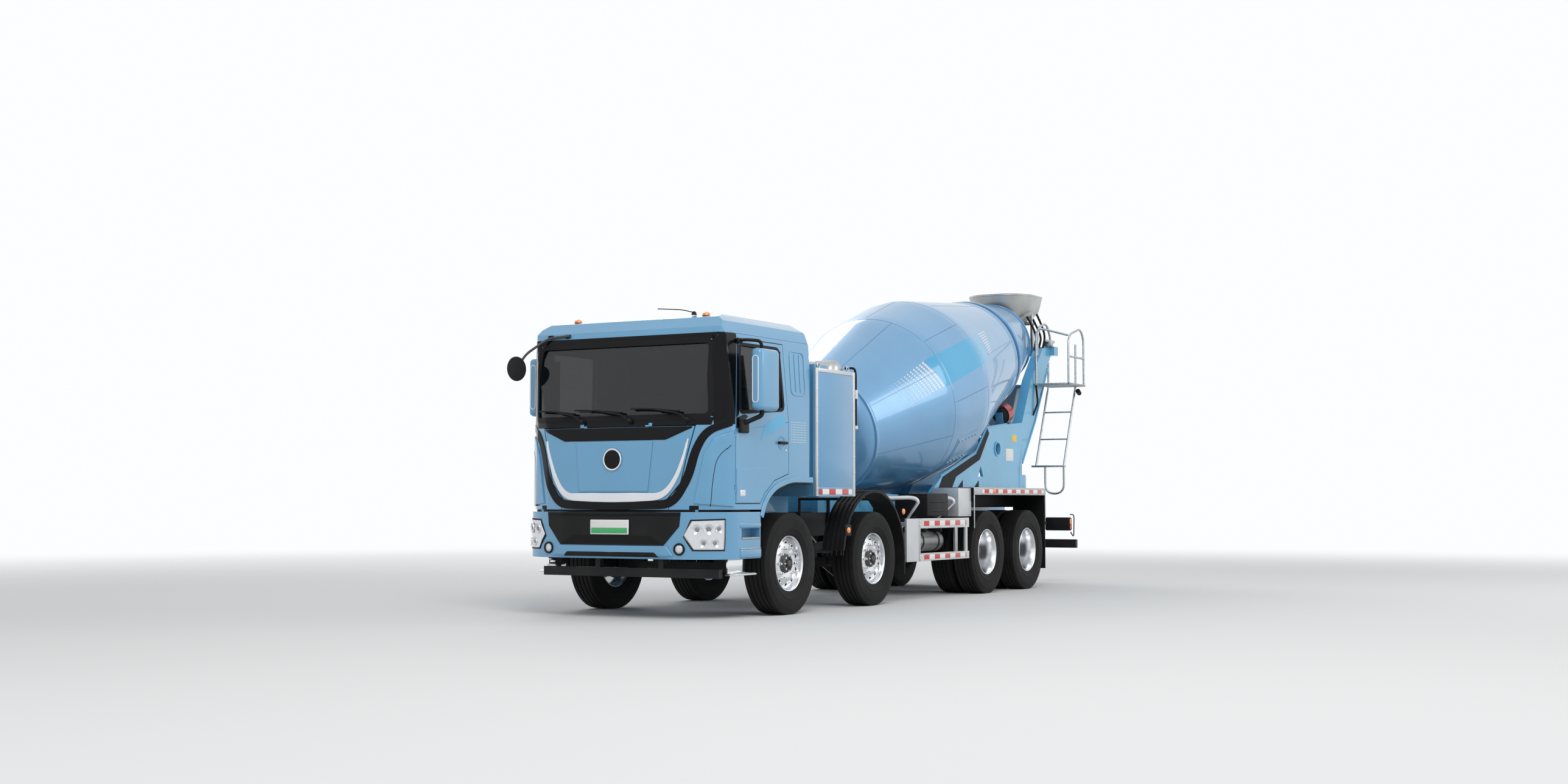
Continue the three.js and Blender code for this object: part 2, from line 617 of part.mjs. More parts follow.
// The room in the cab's skin for the flap's own barrel to turn in.
const hingeNotch = () => {
  const { x, y, z, radius, length } = FLAP_HINGE;
  return rod([x - length - 5, y, z], [x - PIN_GAP / 2, y, z], radius + HINGE_ROOM, 8);
};

function sidePrism(outline, sign) {
  const [near, far] = [CAB_HALF - 325, CAB_HALF + 60];
  return sign > 0 ? slabX(outline, near, far) : slabX(outline, -far, -near);
}

// One row of door hinge barrels: half a running gap above or below each hinge's middle.
function hingeBarrels(up, radius, extra) {
  const reach = HINGE_HALF / 2 + extra;
  return join(HINGE_Z.map((height) => {
    const z = height + up * (HINGE_HALF + PIN_GAP) / 2;
    return rod([HINGE_X, HINGE_Y, z - reach], [HINGE_X, HINGE_Y, z + reach], radius);
  }));
}

const upperBarrels = (radius, extra) => hingeBarrels(1, radius, extra);    // the door's
const lowerBarrels = (radius, extra) => hingeBarrels(-1, radius, extra);   // the pillar's

function leftDoor() {
  const leaf = cabLayer(0, CAB_WALL - 2).intersect(sidePrism(inset(DOOR_OUTLINE, MOVE_GAP), 1));
  return leaf.subtract(sidePrism(DOOR_WINDOW, 1))
    .subtract(lowerBarrels(HINGE_R + HINGE_ROOM, HINGE_ROOM))
    .add(upperBarrels(HINGE_R, 0));
}

function cabShell() {
  let shell = cabLayer(0, CAB_WALL);
  for (const [, sign] of SIDES) shell = shell.subtract(sidePrism(DOOR_OUTLINE, sign));
  shell = shell.subtract(slabY(SCREEN_OUTLINE, -1600, -1150));
  shell = shell.subtract(slabY(inset(FLAP_OUTLINE, -FLAP_GAP), -1600, -1200));
  const lugX = RAIL_OUT + TILT_PIN + PIN_GAP;
  const lug = box([lugX, lugX + LUG_T], [TILT_Y - 40, TILT_Y + 40], [TILT_Z - 20, CAB_FLOOR + 20]);
  for (const facing of [(body) => body, (body) => body.mirror([1, 0, 0])]) {
    shell = shell.subtract(facing(upperBarrels(HINGE_R + HINGE_ROOM, HINGE_ROOM)));
    shell = shell.add(facing(lowerBarrels(HINGE_R, 0)));
    shell = shell.add(facing(lug));
    shell = shell.subtract(facing(hingeNotch())).add(facing(bodyHinge()));
  }
  return shell;
}

const SEAT_X = 560;

const pane = (prism) => cabLayer(GLASS_INSET, GLASS_INSET + GLASS_T).intersect(prism);

function cabInterior() {
  const deckZ = CAB_REAR_FLOOR + CAB_WALL + SEAT;
  const footZ = CAB_FLOOR + CAB_WALL + SEAT;
  const dashHalf = CAB_HALF - 125;
  const floorX = [105 - CAB_HALF, CAB_HALF - 105];
  const dash = slabX([[-1400, 1700], [-1400, 1985], [-1150, 2005], [-980, 1960], [-960, 1850], [-1040, 1700]],
    -dashHalf, dashHalf);
  const cushion = [[1650, 235, 250], [1700, 260, 275], [1790, 255, 265]].map(
    ([z, halfX, halfY]) => cutRectangle(halfX, halfY, -120, z, 40));
  const back = [[1780, 245, 60, 110], [2150, 250, 65, 190], [2420, 200, 55, 245]].map(
    ([z, halfX, halfY, y]) => cutRectangle(halfX, halfY, y, z, 30));
  const seat = join([box([-90, 90], [-380, 120], [deckZ, 1660]), loft(cushion), loft(back)]);
  const seats = [-SEAT_X, SEAT_X].map((x) => seat.translate([x, 0, 0]));
  const rim = solid(new THREE.TorusGeometry(225, 16, 5, 14));
  const wheel = rim.rotate([-62, 0, 0]).translate([SEAT_X, -780, 2010]);
  return join([
    box(floorX, [-420, 400], [deckZ, deckZ + 30]),
    box(floorX, [-440, -410], [footZ, deckZ + 30]),
    box(floorX, [-1380, -410], [footZ, footZ + 20]),
    box([-140, 140], [-1300, -430], [footZ, 1720]),
    dash, ...seats,
    rod([SEAT_X, -1050, 1880], [SEAT_X, -790, 2005], 35, 8),
    box([SEAT_X - 210, SEAT_X + 210], [-795, -775], [1995, 2020]),
    wheel,
  ]).intersect(cabForm(CAB_WALL + SEAT));
}

const BUMPER_HALF = CAB_HALF + 10;
const BUMPER_REAR = -1035;
const STEP_REAR = -618;
const BUMPER_PLAN = [[0, -1510], [BUMPER_HALF - 635, -1500], [BUMPER_HALF - 335, -1450],
  [BUMPER_HALF - 155, -1362], [BUMPER_HALF - 45, -1235], [BUMPER_HALF, -1120], [BUMPER_HALF, BUMPER_REAR]];

// Bumper wrapped round the cab's foot, with the step boxes and step brackets at its ends.
function bumper() {
  const whole = mirrored([...BUMPER_PLAN, [0, BUMPER_REAR]]);
  const front = inset(whole, BUMPER_T).slice(0, BUMPER_PLAN.length - 1);
  const openEnd = BUMPER_REAR + 35;
  const hollow = mirrored([...front, [BUMPER_HALF - BUMPER_T, openEnd], [0, openEnd]]);
  const chamfered = slabX([[-1480, BUMPER_LOW], [-1515, BUMPER_LOW + 70], [-1515, 1040], [-1490, BUMPER_TOP],
    [openEnd, BUMPER_TOP], [openEnd, BUMPER_LOW]], -BUMPER_HALF - 65, BUMPER_HALF + 65);
  const shell = slabZ(whole, BUMPER_LOW, BUMPER_TOP)
    .subtract(slabZ(hollow, BUMPER_LOW - 10, BUMPER_TOP + 10));
  const across = (near, far) => [BUMPER_HALF - near, BUMPER_HALF - far];
  const steps = boxes(across(190, 7), [-1060, STEP_REAR], [BUMPER_LOW, BUMPER_TOP]);
  const treads = boxes(across(115, -5), [-990, STEP_REAR - 15], [800, 910]);
  const brackets = boxes(across(135, 123), [-1060, -700], [LOW_TREAD_Z, BUMPER_LOW + 10]);
  const lowTreads = boxes(across(135, 20), [-1080, -690], [LOW_TREAD_Z, LOW_TREAD_Z + 12]);
  const bosses = boxes(across(335, 275), [-1385, -1325], [BUMPER_TOP - 40, CAB_FLOOR - SEAT]);
  return join([shell.intersect(chamfered), ...steps, ...bosses])
    .subtract(join(treads)).add(join([...brackets, ...lowTreads]));
}

const MIRROR_X = CAB_HALF + 160;

function leftMirror() {
  const footZ = 2789;
  const lean = (CAB_HALF - GUTTER_HALF) / (CAB_GUTTER - CAB_BELT);
  const upperSkinX = CAB_HALF - lean * (footZ - CAB_BELT);
  const stages = [[2085, 55, 195, -800], [2130, 68, 215, -800], [2660, 66, 212, -790], [2715, 50, 185, -790]];
  const housing = loft(stages.map(([z, halfX, halfY, y]) => cutRectangle(halfX, halfY, y, z, 22)));
  return join([
    housing.translate([MIRROR_X, 0, 0]),
    tube([[CAB_HALF - 35, -975, footZ], [CAB_HALF + 35, -960, 2800], [MIRROR_X, -860, 2790],
      [MIRROR_X, -860, 2690]], 17),
    tube([[CAB_HALF + 20, -985, 1960], [CAB_HALF + 65, -960, 1985], [MIRROR_X - 10, -850, 2040],
      [MIRROR_X - 10, -850, 2100]], 22),
    seatedFoot([upperSkinX, -975, footZ], [1, 0, lean], 22, 26),
    seatedFoot([CAB_HALF, -985, 1940], [1, 0, 0], 45, 30),
  ]);
}

// A round foot that stands on a skin at a point, along the skin's outward direction.
function seatedFoot(point, outward, radius, height) {
  const along = new THREE.Vector3(...outward).normalize();
  const at = (distance) => new THREE.Vector3(...point).addScaledVector(along, distance).toArray();
  return rod(at(SEAT), at(height), radius);
}

function frontMirror() {
  const footX = 265 - CAB_HALF;
  const disc = rod([10 - CAB_HALF, -1470, 2560], [-CAB_HALF, -1500, 2562], 130, 20);
  const foot = seatedFoot([footX, -1255, 2873], [0, -75, 22], 20, 24);
  const arm = tube([[5 - CAB_HALF, -1475, 2560], [75 - CAB_HALF, -1430, 2700], [footX, -1272, 2878]], 13);
  return join([disc, foot, arm]);
}

const CAB = new THREE.Group();

function buildCab() {
  truck.add(CAB);
  add('cab_shell', cabShell(), PAINT, [0, 0, 0], CAB);
  const door = leftDoor();
  const doorGlass = pane(sidePrism(inset(DOOR_WINDOW, SEAT), 1));
  const mirror = leftMirror();
  for (const [side, sign] of SIDES) {
    const facing = (body) => (sign > 0 ? body : body.mirror([1, 0, 0]));
    add(`door_${side}`, facing(door), PAINT, [0, 0, 0], CAB);
    add(`door_glass_${side}`, facing(doorGlass), GLASS, [0, 0, 0], CAB);
    add(`mirror_${side}`, facing(mirror), TRIM, [0, 0, 0], CAB);
  }
  add('windscreen', pane(slabY(inset(SCREEN_OUTLINE, SEAT), -1600, -1150)), GLASS, [0, 0, 0], CAB);
  const leaf = cabLayer(0, FLAP_T).intersect(slabY(FLAP_OUTLINE, -1600, -1200));
  const lid = leaf.add(lidHinge()).add(lidHinge().mirror([1, 0, 0]));
  add('front_flap', lid, PAINT, [0, 0, 0], CAB);
  add('cab_interior', cabInterior(), TRIM, [0, 0, 0], CAB);
  add('bumper', bumper(), PAINT, [0, 0, 0], CAB);
  add('front_mirror', frontMirror(), TRIM, [0, 0, 0], CAB);
}

// ---- battery and water ----
function batteryCabinet() {
  const core = CABINET_HALF - CABINET_SIDE_T;
  const coreTop = CABINET_TOP - 170;
  return join([
    box([-core - 1, core + 1], [CABINET_FRONT + 25, CABINET_REAR - 25], [CABINET_LOW, coreTop]),
    ...boxes([core, CABINET_HALF], [CABINET_FRONT, CABINET_REAR], [CABINET_LOW, CABINET_TOP]),
    box([-core - 1, core + 1], [CABINET_FRONT + 25, CABINET_FRONT + 330], [coreTop - 5, CABINET_TOP + 45]),
    ...boxes([RAIL_IN, RAIL_OUT], [CABINET_FRONT + 70, CABINET_REAR - 70],
      [RAIL_TOP + SEAT, CABINET_LOW + 5]),
  ]);
}

function waterTank() {
  const y = CABINET_REAR - 250;
  const z = CABINET_TOP - 170 + TANK_R + SEAT;
  return rod([-1190, y, z], [1190, y, z], TANK_R, 24);
}

// ---- mixer ----
const drumPoint = (x, s, h) => [x, s * Math.cos(DRUM_TILT) - h * Math.sin(DRUM_TILT),
  DRUM_Z + s * Math.sin(DRUM_TILT) + h * Math.cos(DRUM_TILT)];
const SHELL_AT_RING = RING_R - 22;

function drumDrive() {
  return turned([[0, 2120], [150, 2120], [150, 2340], [230, 2340], [230, 2640], [185, 2700],
    [185, DRUM_FLANGE_S - PIN_GAP], [0, DRUM_FLANGE_S - PIN_GAP]], 24);
}

// The drum's outside as [radius, station]: flange, domed head, two cones, track ring and mouth.
const DRUM_OUTSIDE = [
  [0, DRUM_FLANGE_S], [170, DRUM_FLANGE_S], [170, 2790], [430, 2835], [640, 2915],
  [DRUM_HEAD_R, DRUM_HEAD_S], [SEAM_R[0], SEAM_S[0]], [SEAM_R[1], SEAM_S[1]],
  [SHELL_AT_RING + 12, RING_S - RING_W / 2], [RING_R, RING_S - RING_W / 2],
  [RING_R, RING_S + RING_W / 2], [SHELL_AT_RING - 12, RING_S + RING_W / 2], [MOUTH_R, MOUTH_S]];

function drumShell() {
  const t = DRUM_WALL;
  return turned([
    ...DRUM_OUTSIDE, [MOUTH_R - t, MOUTH_S], [SHELL_AT_RING - t, RING_S], [SEAM_R[1] - t, SEAM_S[1]],
    [SEAM_R[0] - t, SEAM_S[0]], [DRUM_HEAD_R - t, DRUM_HEAD_S + 8], [0, 2812]], DRUM_SEG);
}

// The room that the drum needs to turn in, which fixed pieces stay out of.
function drumRoom() {
  const around = DRUM_OUTSIDE.slice(1).map(([r, s]) => [r + DRUM_ROOM, s]);
  return onDrumAxis(turned([[0, DRUM_FLANGE_S], ...around, [0, MOUTH_S]], DRUM_SEG));
}

function roller() {
  const half = ROLLER_W / 2;
  const end = half + ROLLER_NECK;
  return turned([[0, -end], [36, -end], [36, -half], [ROLLER_R, -half], [ROLLER_R, half],
    [36, half], [36, end], [0, end]], 20);
}

const ROLLER_REACH = RING_R + ROLLER_R + PIN_GAP;
const ROLLER_X = ROLLER_REACH * Math.sin(ROLLER_ANGLE);
const ROLLER_H = -ROLLER_REACH * Math.cos(ROLLER_ANGLE);
const rollerCentre = (sign) => drumPoint(sign * ROLLER_X, RING_S, ROLLER_H);

// The room that one roller needs to turn in.
function rollerRoom(sign) {
  const half = ROLLER_W / 2 + MOVE_GAP;
  const [x, h] = [sign * ROLLER_X, ROLLER_H];
  return onDrumAxis(rod([x, RING_S - half, h], [x, RING_S + half, h], ROLLER_R + MOVE_GAP, 20));
}

// Bearing ears at both ends of one roller, in the truck's frame.
function rollerEars(sign) {
  const x = sign * ROLLER_X;
  const face = ROLLER_W / 2 + ROLLER_NECK + PIN_GAP;
  return [-1, 1].map((end) => {
    const s = [RING_S + end * face, RING_S + end * (face + 28)].sort((a, b) => a - b);
    return onDrumAxis(box([x - 55, x + 55], s, [ROLLER_H - 200, ROLLER_H + 45]));
  });
}

const COLUMN = [[6450, 1234], [7500, 1234], [7560, 1700], [8080, 2340], [8570, 3130], [8860, 3470],
  [8420, 3420], [7960, 2920], [7620, 2320], [6950, 1720]];
const PLATE = [[4480, 1234], [4480, 1300], [4800, 1500], [5920, 1830], [6300, 2180], [7000, 2250],
  [7500, 2290], [7500, 1234]];
const BOOM = [[7380, 1310], [7440, 1420], [8560, 1600], [8700, 1600], [8700, 1490], [8580, 1470]];

function rearFrame() {
  const foot = SUBFRAME_TOP + SEAT;
  const seated = (outline) => outline.map(([y, z]) => [y, z === 1234 ? foot : z]);
  const plate = slabX(seated(PLATE), PLATE_X, PLATE_X + PLATE_T)
    .subtract(rod([650, 6620, 1900], [800, 6620, 1900], 85, 10))
    .subtract(rod([650, 6050, 1560], [800, 6050, 1560], 95, 3));
  const column = slabX(seated(COLUMN), COLUMN_X, PLATE_X + 1);
  const sideParts = plate.add(column);
  const post = rod([0, FUNNEL_Y, 1480], [0, FUNNEL_Y, 1610], 60);
  return join([
    sideParts, sideParts.mirror([1, 0, 0]),
    onDrumAxis(box([-PLATE_X, PLATE_X], [RING_S - 125, RING_S + 125], [ROLLER_H - 285, ROLLER_H - 185])),
    box([-770, 770], [8700, 8850], [3330, 3460]),
    box([-PLATE_X, PLATE_X], [7300, 7460], [1300, 1420]),
    slabX(BOOM, -60, 60), post,
    ...rollerEars(1), ...rollerEars(-1),
  ]).subtract(join([drumRoom(), rollerRoom(1), rollerRoom(-1)]));
}

function hopper() {
  const stages = (shrink, reach) => loft([
    cutRectangle(160 - shrink, 110 - shrink, 8230 - reach * 0.6, 3540 - reach, 40),
    cutRectangle(200 - shrink, 170 - shrink, 8470, 3720, 50),
    cutRectangle(440 - shrink, 480 - shrink, HOPPER_Y, 3985, 110),
    cutRectangle(500 - shrink, 550 - shrink, HOPPER_Y, HOPPER_TOP + reach, 130)]);
  const legs = boxes([380, 420], [8730, 8790], [3460 + SEAT, 3995]);
  return join([stages(0, 0), ...legs]).subtract(stages(8, 20));
}

function dischargeFunnel() {
  const stages = (shrink, reach) => loft([
    cutRectangle(170 - shrink, 170 - shrink, FUNNEL_Y, FUNNEL_LOW - reach, 50),
    cutRectangle(410 - shrink, 280 - shrink, FUNNEL_Y, FUNNEL_TOP + reach, 80)]);
  const lugs = boxes([310, COLUMN_X - SEAT], [8335, 8381], [2835, 2885]);
  return join([stages(0, 0), ...lugs]).subtract(stages(8, 20));
}

const CHUTE_FOOT = 1610 + PIN_GAP;
const EAR_IN = 75;

function chuteBracket() {
  return join([
    rod([0, FUNNEL_Y, CHUTE_FOOT], [0, FUNNEL_Y, 1695], 50),
    box([-60, 60], [FUNNEL_Y - 105, FUNNEL_Y + 105], [1685, 1706]),
    box([-45, 45], [FUNNEL_Y + EAR_IN, FUNNEL_Y + 103], [1700, CHUTE_Z + 35]),
    box([-45, 45], [FUNNEL_Y - 103, FUNNEL_Y - EAR_IN], [1700, CHUTE_Z + 35]),
  ]);
}

// Half-round trough along X between two stations, its arc centred at a height.
function trough(from, to, height, upright) {
  const wall = 9;
  const [a, b] = upright ? [180, 360] : [0, 180];
  const ring = [...arc([0, height], CHUTE_R, a, b, 12), ...arc([0, height], CHUTE_R - wall, b, a, 12)];
  return slabX(ring, from, to);
}

const RIM_H = 45 + CHUTE_R;       // rim of the main trough above the tilt pin
const FOLD_H = RIM_H + 10;
const FOLD_PIN = CHUTE_R + 25;    // end of the fold's pins
const FOLD_EAR = CHUTE_R + 44;    // outer face of the extension's ears
const beside = (side, near, far) => (side > 0 ? [near, far] : [-far, -near]);

// Main chute in its own frame: tilt pin at the origin, trough along -X.
function mainChute() {
  const earPins = [-1, 1].map((side) => join([
    rod([-CHUTE_LENGTH, side * (CHUTE_R + 4), FOLD_H], [-CHUTE_LENGTH, side * FOLD_PIN, FOLD_H], 12, 10),
    box([-CHUTE_LENGTH, -CHUTE_LENGTH + 34], beside(side, CHUTE_R - 6, FOLD_PIN), [RIM_H - 40, FOLD_H - 6]),
    box([-CHUTE_LENGTH - 8, -CHUTE_LENGTH + 8], beside(side, CHUTE_R + 4, FOLD_PIN), [RIM_H - 6, FOLD_H]),
  ]));
  return join([
    trough(-CHUTE_LENGTH, 200, RIM_H, true),
    rod([0, -EAR_IN + PIN_GAP, 0], [0, EAR_IN - PIN_GAP, 0], 35),
    box([-45, 45], [-60, 60], [5, 60]),
    ...earPins,
  ]);
}

// Extension folded back over the main trough, in the main chute's frame.
function chuteExtension() {
  const start = -CHUTE_LENGTH + 22;
  const ears = [-1, 1].map((side) => join([
    box([start, start + 40], beside(side, CHUTE_R - 12, FOLD_EAR), [FOLD_H + 14, FOLD_H + 36]),
    box([-CHUTE_LENGTH - 12, start + 40], beside(side, FOLD_PIN + PIN_GAP, FOLD_EAR),
      [FOLD_H - 12, FOLD_H + 36]),
  ]));
  return join([trough(start, start + EXTENSION_LENGTH, FOLD_H + 10, false), ...ears]);
}

function ladderPlatform() {
  const deckZ = 2880;
  const x = [PLATE_X + 1 + SEAT, 1240];
  const r = 15;
  const deck = box(x, [8060, 8720], [deckZ - 28, deckZ]);
  const stiles = [[660, 3230], [1085, 3480]].map(([sx, top]) => tube(
    [[sx, 8230, 1280], [sx, 8230, 1700], [sx, 8735, deckZ - 10], [sx, 8745, top]], r));
  const rungs = Array.from({ length: 6 }, (_, i) => {
    const z = 1700 + i * 225;
    const y = 8230 + (z - 1700) / (deckZ - 10 - 1700) * 505;
    return rod([660, y, z], [1085, y, z], 11, 6);
  });
  return join([
    deck, ...stiles, ...rungs,
    rod([660, 8230, 1290], [1085, 8230, 1290], 13, 8),
    tube([[1225, 8090, deckZ - 5], [1225, 8090, 3560], [1225, 8560, 3690], [1225, 8700, 3560],
      [1225, 8700, deckZ - 5]], r),
    rod([1225, 8090, 3260], [1225, 8700, 3260], 12, 8),
    tube([[730, 8090, deckZ - 5], [730, 8090, 3700], [1225, 8090, 3560]], r),
  ]);
}

function buildBody() {
  add('battery_cabinet', batteryCabinet(), PAINT);
  add('water_tank', waterTank(), STEEL);
  const drumAxis = new THREE.Group();
  drumAxis.position.z = DRUM_Z;
  drumAxis.rotation.x = DRUM_TILT;
  truck.add(drumAxis);
  add('drum_drive', drumDrive(), FRAME_PAINT, [0, 0, 0], drumAxis);
  add('drum', drumShell(), PAINT, [0, 0, 0], drumAxis);
  for (const [side, sign] of SIDES) {
    const mesh = add(`roller_${side}`, roller(), BLACK, rollerCentre(sign));
    mesh.rotation.x = DRUM_TILT;
  }
  add('rear_frame', rearFrame(), FRAME_PAINT);
  add('hopper', hopper(), STEEL);
  add('discharge_funnel', dischargeFunnel(), STEEL);
  add('chute_bracket', chuteBracket(), FRAME_PAINT);
  const chute = new THREE.Group();
  chute.position.set(0, FUNNEL_Y, CHUTE_Z);
  chute.rotation.y = -CHUTE_SLOPE;
  truck.add(chute);
  add('chute_main', mainChute(), FRAME_PAINT, [0, 0, 0], chute);
  add('chute_extension', chuteExtension(), FRAME_PAINT, [0, 0, 0], chute);
  add('ladder_platform', ladderPlatform(), STEEL);
}

buildRunningGear();
buildChassis();
buildCab();
buildBody();

// The origin is under the middle of the truck's overall box, at ground level.
truck.updateMatrixWorld(true);
const extent = new THREE.Box3().setFromObject(truck);
truck.position.y = -(extent.min.y + extent.max.y) / 2;

export default truck;
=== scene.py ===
"""Looks of a battery-electric concrete mixer truck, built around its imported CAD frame."""
import json
import logging
import math
from dataclasses import dataclass
from enum import Enum
from typing import Iterable, Sequence

import bmesh
import bpy
import numpy as np
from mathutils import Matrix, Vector

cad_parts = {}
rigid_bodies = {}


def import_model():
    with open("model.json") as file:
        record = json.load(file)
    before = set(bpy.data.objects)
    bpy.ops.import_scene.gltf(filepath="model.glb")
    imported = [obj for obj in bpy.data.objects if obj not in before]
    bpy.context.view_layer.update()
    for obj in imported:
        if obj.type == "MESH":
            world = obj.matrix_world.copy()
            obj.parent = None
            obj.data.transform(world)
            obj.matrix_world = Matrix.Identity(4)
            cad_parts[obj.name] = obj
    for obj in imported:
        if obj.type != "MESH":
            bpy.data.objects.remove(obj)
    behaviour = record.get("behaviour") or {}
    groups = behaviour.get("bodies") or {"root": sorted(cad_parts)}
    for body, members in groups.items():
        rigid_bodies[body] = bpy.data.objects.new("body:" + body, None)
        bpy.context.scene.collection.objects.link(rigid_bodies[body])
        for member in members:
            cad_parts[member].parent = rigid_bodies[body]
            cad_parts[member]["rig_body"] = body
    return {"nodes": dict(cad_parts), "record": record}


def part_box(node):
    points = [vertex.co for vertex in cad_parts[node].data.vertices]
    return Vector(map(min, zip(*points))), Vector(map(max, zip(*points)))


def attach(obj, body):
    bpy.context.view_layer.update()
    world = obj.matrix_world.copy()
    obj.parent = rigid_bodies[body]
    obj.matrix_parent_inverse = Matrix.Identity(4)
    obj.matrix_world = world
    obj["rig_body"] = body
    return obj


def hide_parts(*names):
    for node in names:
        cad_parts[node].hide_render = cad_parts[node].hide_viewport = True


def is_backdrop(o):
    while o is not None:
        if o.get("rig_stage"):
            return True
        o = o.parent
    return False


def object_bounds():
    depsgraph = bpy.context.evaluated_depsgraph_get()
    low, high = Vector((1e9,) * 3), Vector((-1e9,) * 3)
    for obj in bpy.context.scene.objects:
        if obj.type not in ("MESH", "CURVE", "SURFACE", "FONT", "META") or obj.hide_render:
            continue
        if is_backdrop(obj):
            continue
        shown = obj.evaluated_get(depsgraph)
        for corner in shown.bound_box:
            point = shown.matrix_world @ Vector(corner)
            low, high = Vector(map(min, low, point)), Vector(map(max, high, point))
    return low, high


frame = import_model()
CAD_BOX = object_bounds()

log = logging.getLogger("mixer_truck")

Point = tuple[float, float, float]
Place = tuple[float, float]
Box = tuple[float, float, float, float, float, float]
Line = Sequence[Place]
Route = Sequence[Point]
Points = Sequence[Sequence[float]]
Mesh = tuple[np.ndarray, list]

SIDES: tuple[tuple[str, int], ...] = (("left", 1), ("right", -1))


def centre_of(node: str) -> np.ndarray:
    """Return the middle of a CAD node's box."""
    low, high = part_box(node)
    return (np.array(low) + np.array(high)) / 2


AXLE_1_Y = float(centre_of("wheel_1_left")[1])


def truck(x: float, y: float, z: float) -> np.ndarray:
    """Return a point given from the ground under the first axle, in the frame's own metres."""
    return np.array([x, y + AXLE_1_Y, z])


# ---------------------------------------------------------------------------
# Surfaces: each shape is a function of two parameters on a grid
# ---------------------------------------------------------------------------


def grid(points: np.ndarray, wrap_rows: bool = False, wrap_columns: bool = False,
         caps: bool = False) -> Mesh:
    """Turn a grid of points into a mesh: face (i, j) joins rows i, i + 1 and columns j, j + 1.

    Args:
        points: array of rows by columns by 3.
        wrap_rows: join the last row to the first.
        wrap_columns: join the last column to the first.
        caps: close the first and the last row with one flat face each.

    Returns:
        The vertices and the faces.
    """
    rows, columns = points.shape[:2]
    i = np.arange(rows if wrap_rows else rows - 1)[:, None]
    j = np.arange(columns if wrap_columns else columns - 1)[None, :]
    i2, j2 = (i + 1) % rows, (j + 1) % columns
    quads = np.stack([i * columns + j, i * columns + j2, i2 * columns + j2, i2 * columns + j], -1)
    faces = quads.reshape(-1, 4).tolist()
    if caps:
        faces.append(list(range(columns))[::-1])
        faces.append(list(range((rows - 1) * columns, rows * columns)))
    return points.reshape(-1, 3), faces


def joined(parts: Iterable[Mesh]) -> Mesh:
    """Put several meshes into one, each keeping its own vertices.

    Args:
        parts: the meshes.

    Returns:
        The joined mesh.
    """
    vertices, faces, start = [], [], 0
    for points, corners in parts:
        vertices.append(np.asarray(points, float))
        faces += [[start + k for k in face] for face in corners]
        start += len(points)
    return np.vstack(vertices), faces


def mirrored(mesh: Mesh) -> Mesh:
    """Return a mesh reflected in the plane X = 0, with its faces turned back outwards."""
    return mesh[0] * [-1, 1, 1], [face[::-1] for face in mesh[1]]


def both_sides(mesh: Mesh) -> Mesh:
    """Return a mesh with its reflection in the plane X = 0."""
    return joined([mesh, mirrored(mesh)])


def rounded_rectangle(half_a: float, half_b: float, radius: float, steps: int = 4) -> np.ndarray:
    """Closed outline: four quarter circles of one radius about the corners of the inner rectangle.

    Args:
        half_a: half the size along the first direction.
        half_b: half the size along the second.
        radius: the corners' radius.
        steps: straight steps in a quarter circle.

    Returns:
        The (a, b) points, anticlockwise.
    """
    angle = (np.arange(4)[:, None] * 90 + np.linspace(0, 90, steps + 1)[None, :]) * np.pi / 180
    sign_a = np.array([1, -1, -1, 1])[:, None]
    sign_b = np.array([1, 1, -1, -1])[:, None]
    a = sign_a * (half_a - radius) + radius * np.cos(angle)
    b = sign_b * (half_b - radius) + radius * np.sin(angle)
    return np.stack([a.ravel(), b.ravel()], -1)


def rounded_box(low: Sequence[float], high: Sequence[float], radius: float = 0.006,
                steps: int = 3) -> Mesh:
    """Box with round edges: rounded rectangles along Z, drawn in by r(1 - cos t) towards both ends.

    Args:
        low: lowest corner.
        high: highest corner.
        radius: radius of every edge.
        steps: straight steps in a quarter turn.

    Returns:
        The mesh.
    """
    low, high = np.minimum(low, high), np.maximum(low, high)
    middle, half = (low + high) / 2, (high - low) / 2
    radius = min(radius, float(half.min()) * 0.96)
    quarter = np.linspace(0, 90, steps + 1)
    turn = np.concatenate([quarter - 90, quarter]) * np.pi / 180
    end = np.concatenate([np.full(steps + 1, -1.0), np.full(steps + 1, 1.0)])
    height = end * (half[2] - radius) + radius * np.sin(turn)
    draw = radius * (1 - np.cos(turn))
    outline = rounded_rectangle(half[0], half[1], radius, steps)
    scale_a = (half[0] - draw)[:, None] / half[0]
    scale_b = (half[1] - draw)[:, None] / half[1]
    x = outline[None, :, 0] * scale_a
    y = outline[None, :, 1] * scale_b
    z = np.broadcast_to(height[:, None], x.shape)
    return grid(np.stack([x, y, z], -1) + middle, wrap_columns=True, caps=True)


def smooth_path(points: Points, bend: float, steps: int = 5) -> np.ndarray:
    """Polyline with rounded corners: each is a quadratic curve between points before and after it.

    Args:
        points: the polyline.
        bend: how far from the corner its curve starts and ends.
        steps: straight steps in a curve.

    Returns:
        The points.
    """
    points = np.asarray(points, float)
    out = [points[:1]]
    for before, corner, after in zip(points[:-2], points[1:-1], points[2:]):
        a, b = before - corner, after - corner
        reach = min(bend, np.linalg.norm(a) / 2.01, np.linalg.norm(b) / 2.01)
        start = corner + a / np.linalg.norm(a) * reach
        finish = corner + b / np.linalg.norm(b) * reach
        t = np.linspace(0, 1, steps + 1)[:, None]
        out.append((1 - t) ** 2 * start + 2 * t * (1 - t) * corner + t ** 2 * finish)
    out.append(points[-1:])
    return np.vstack(out)


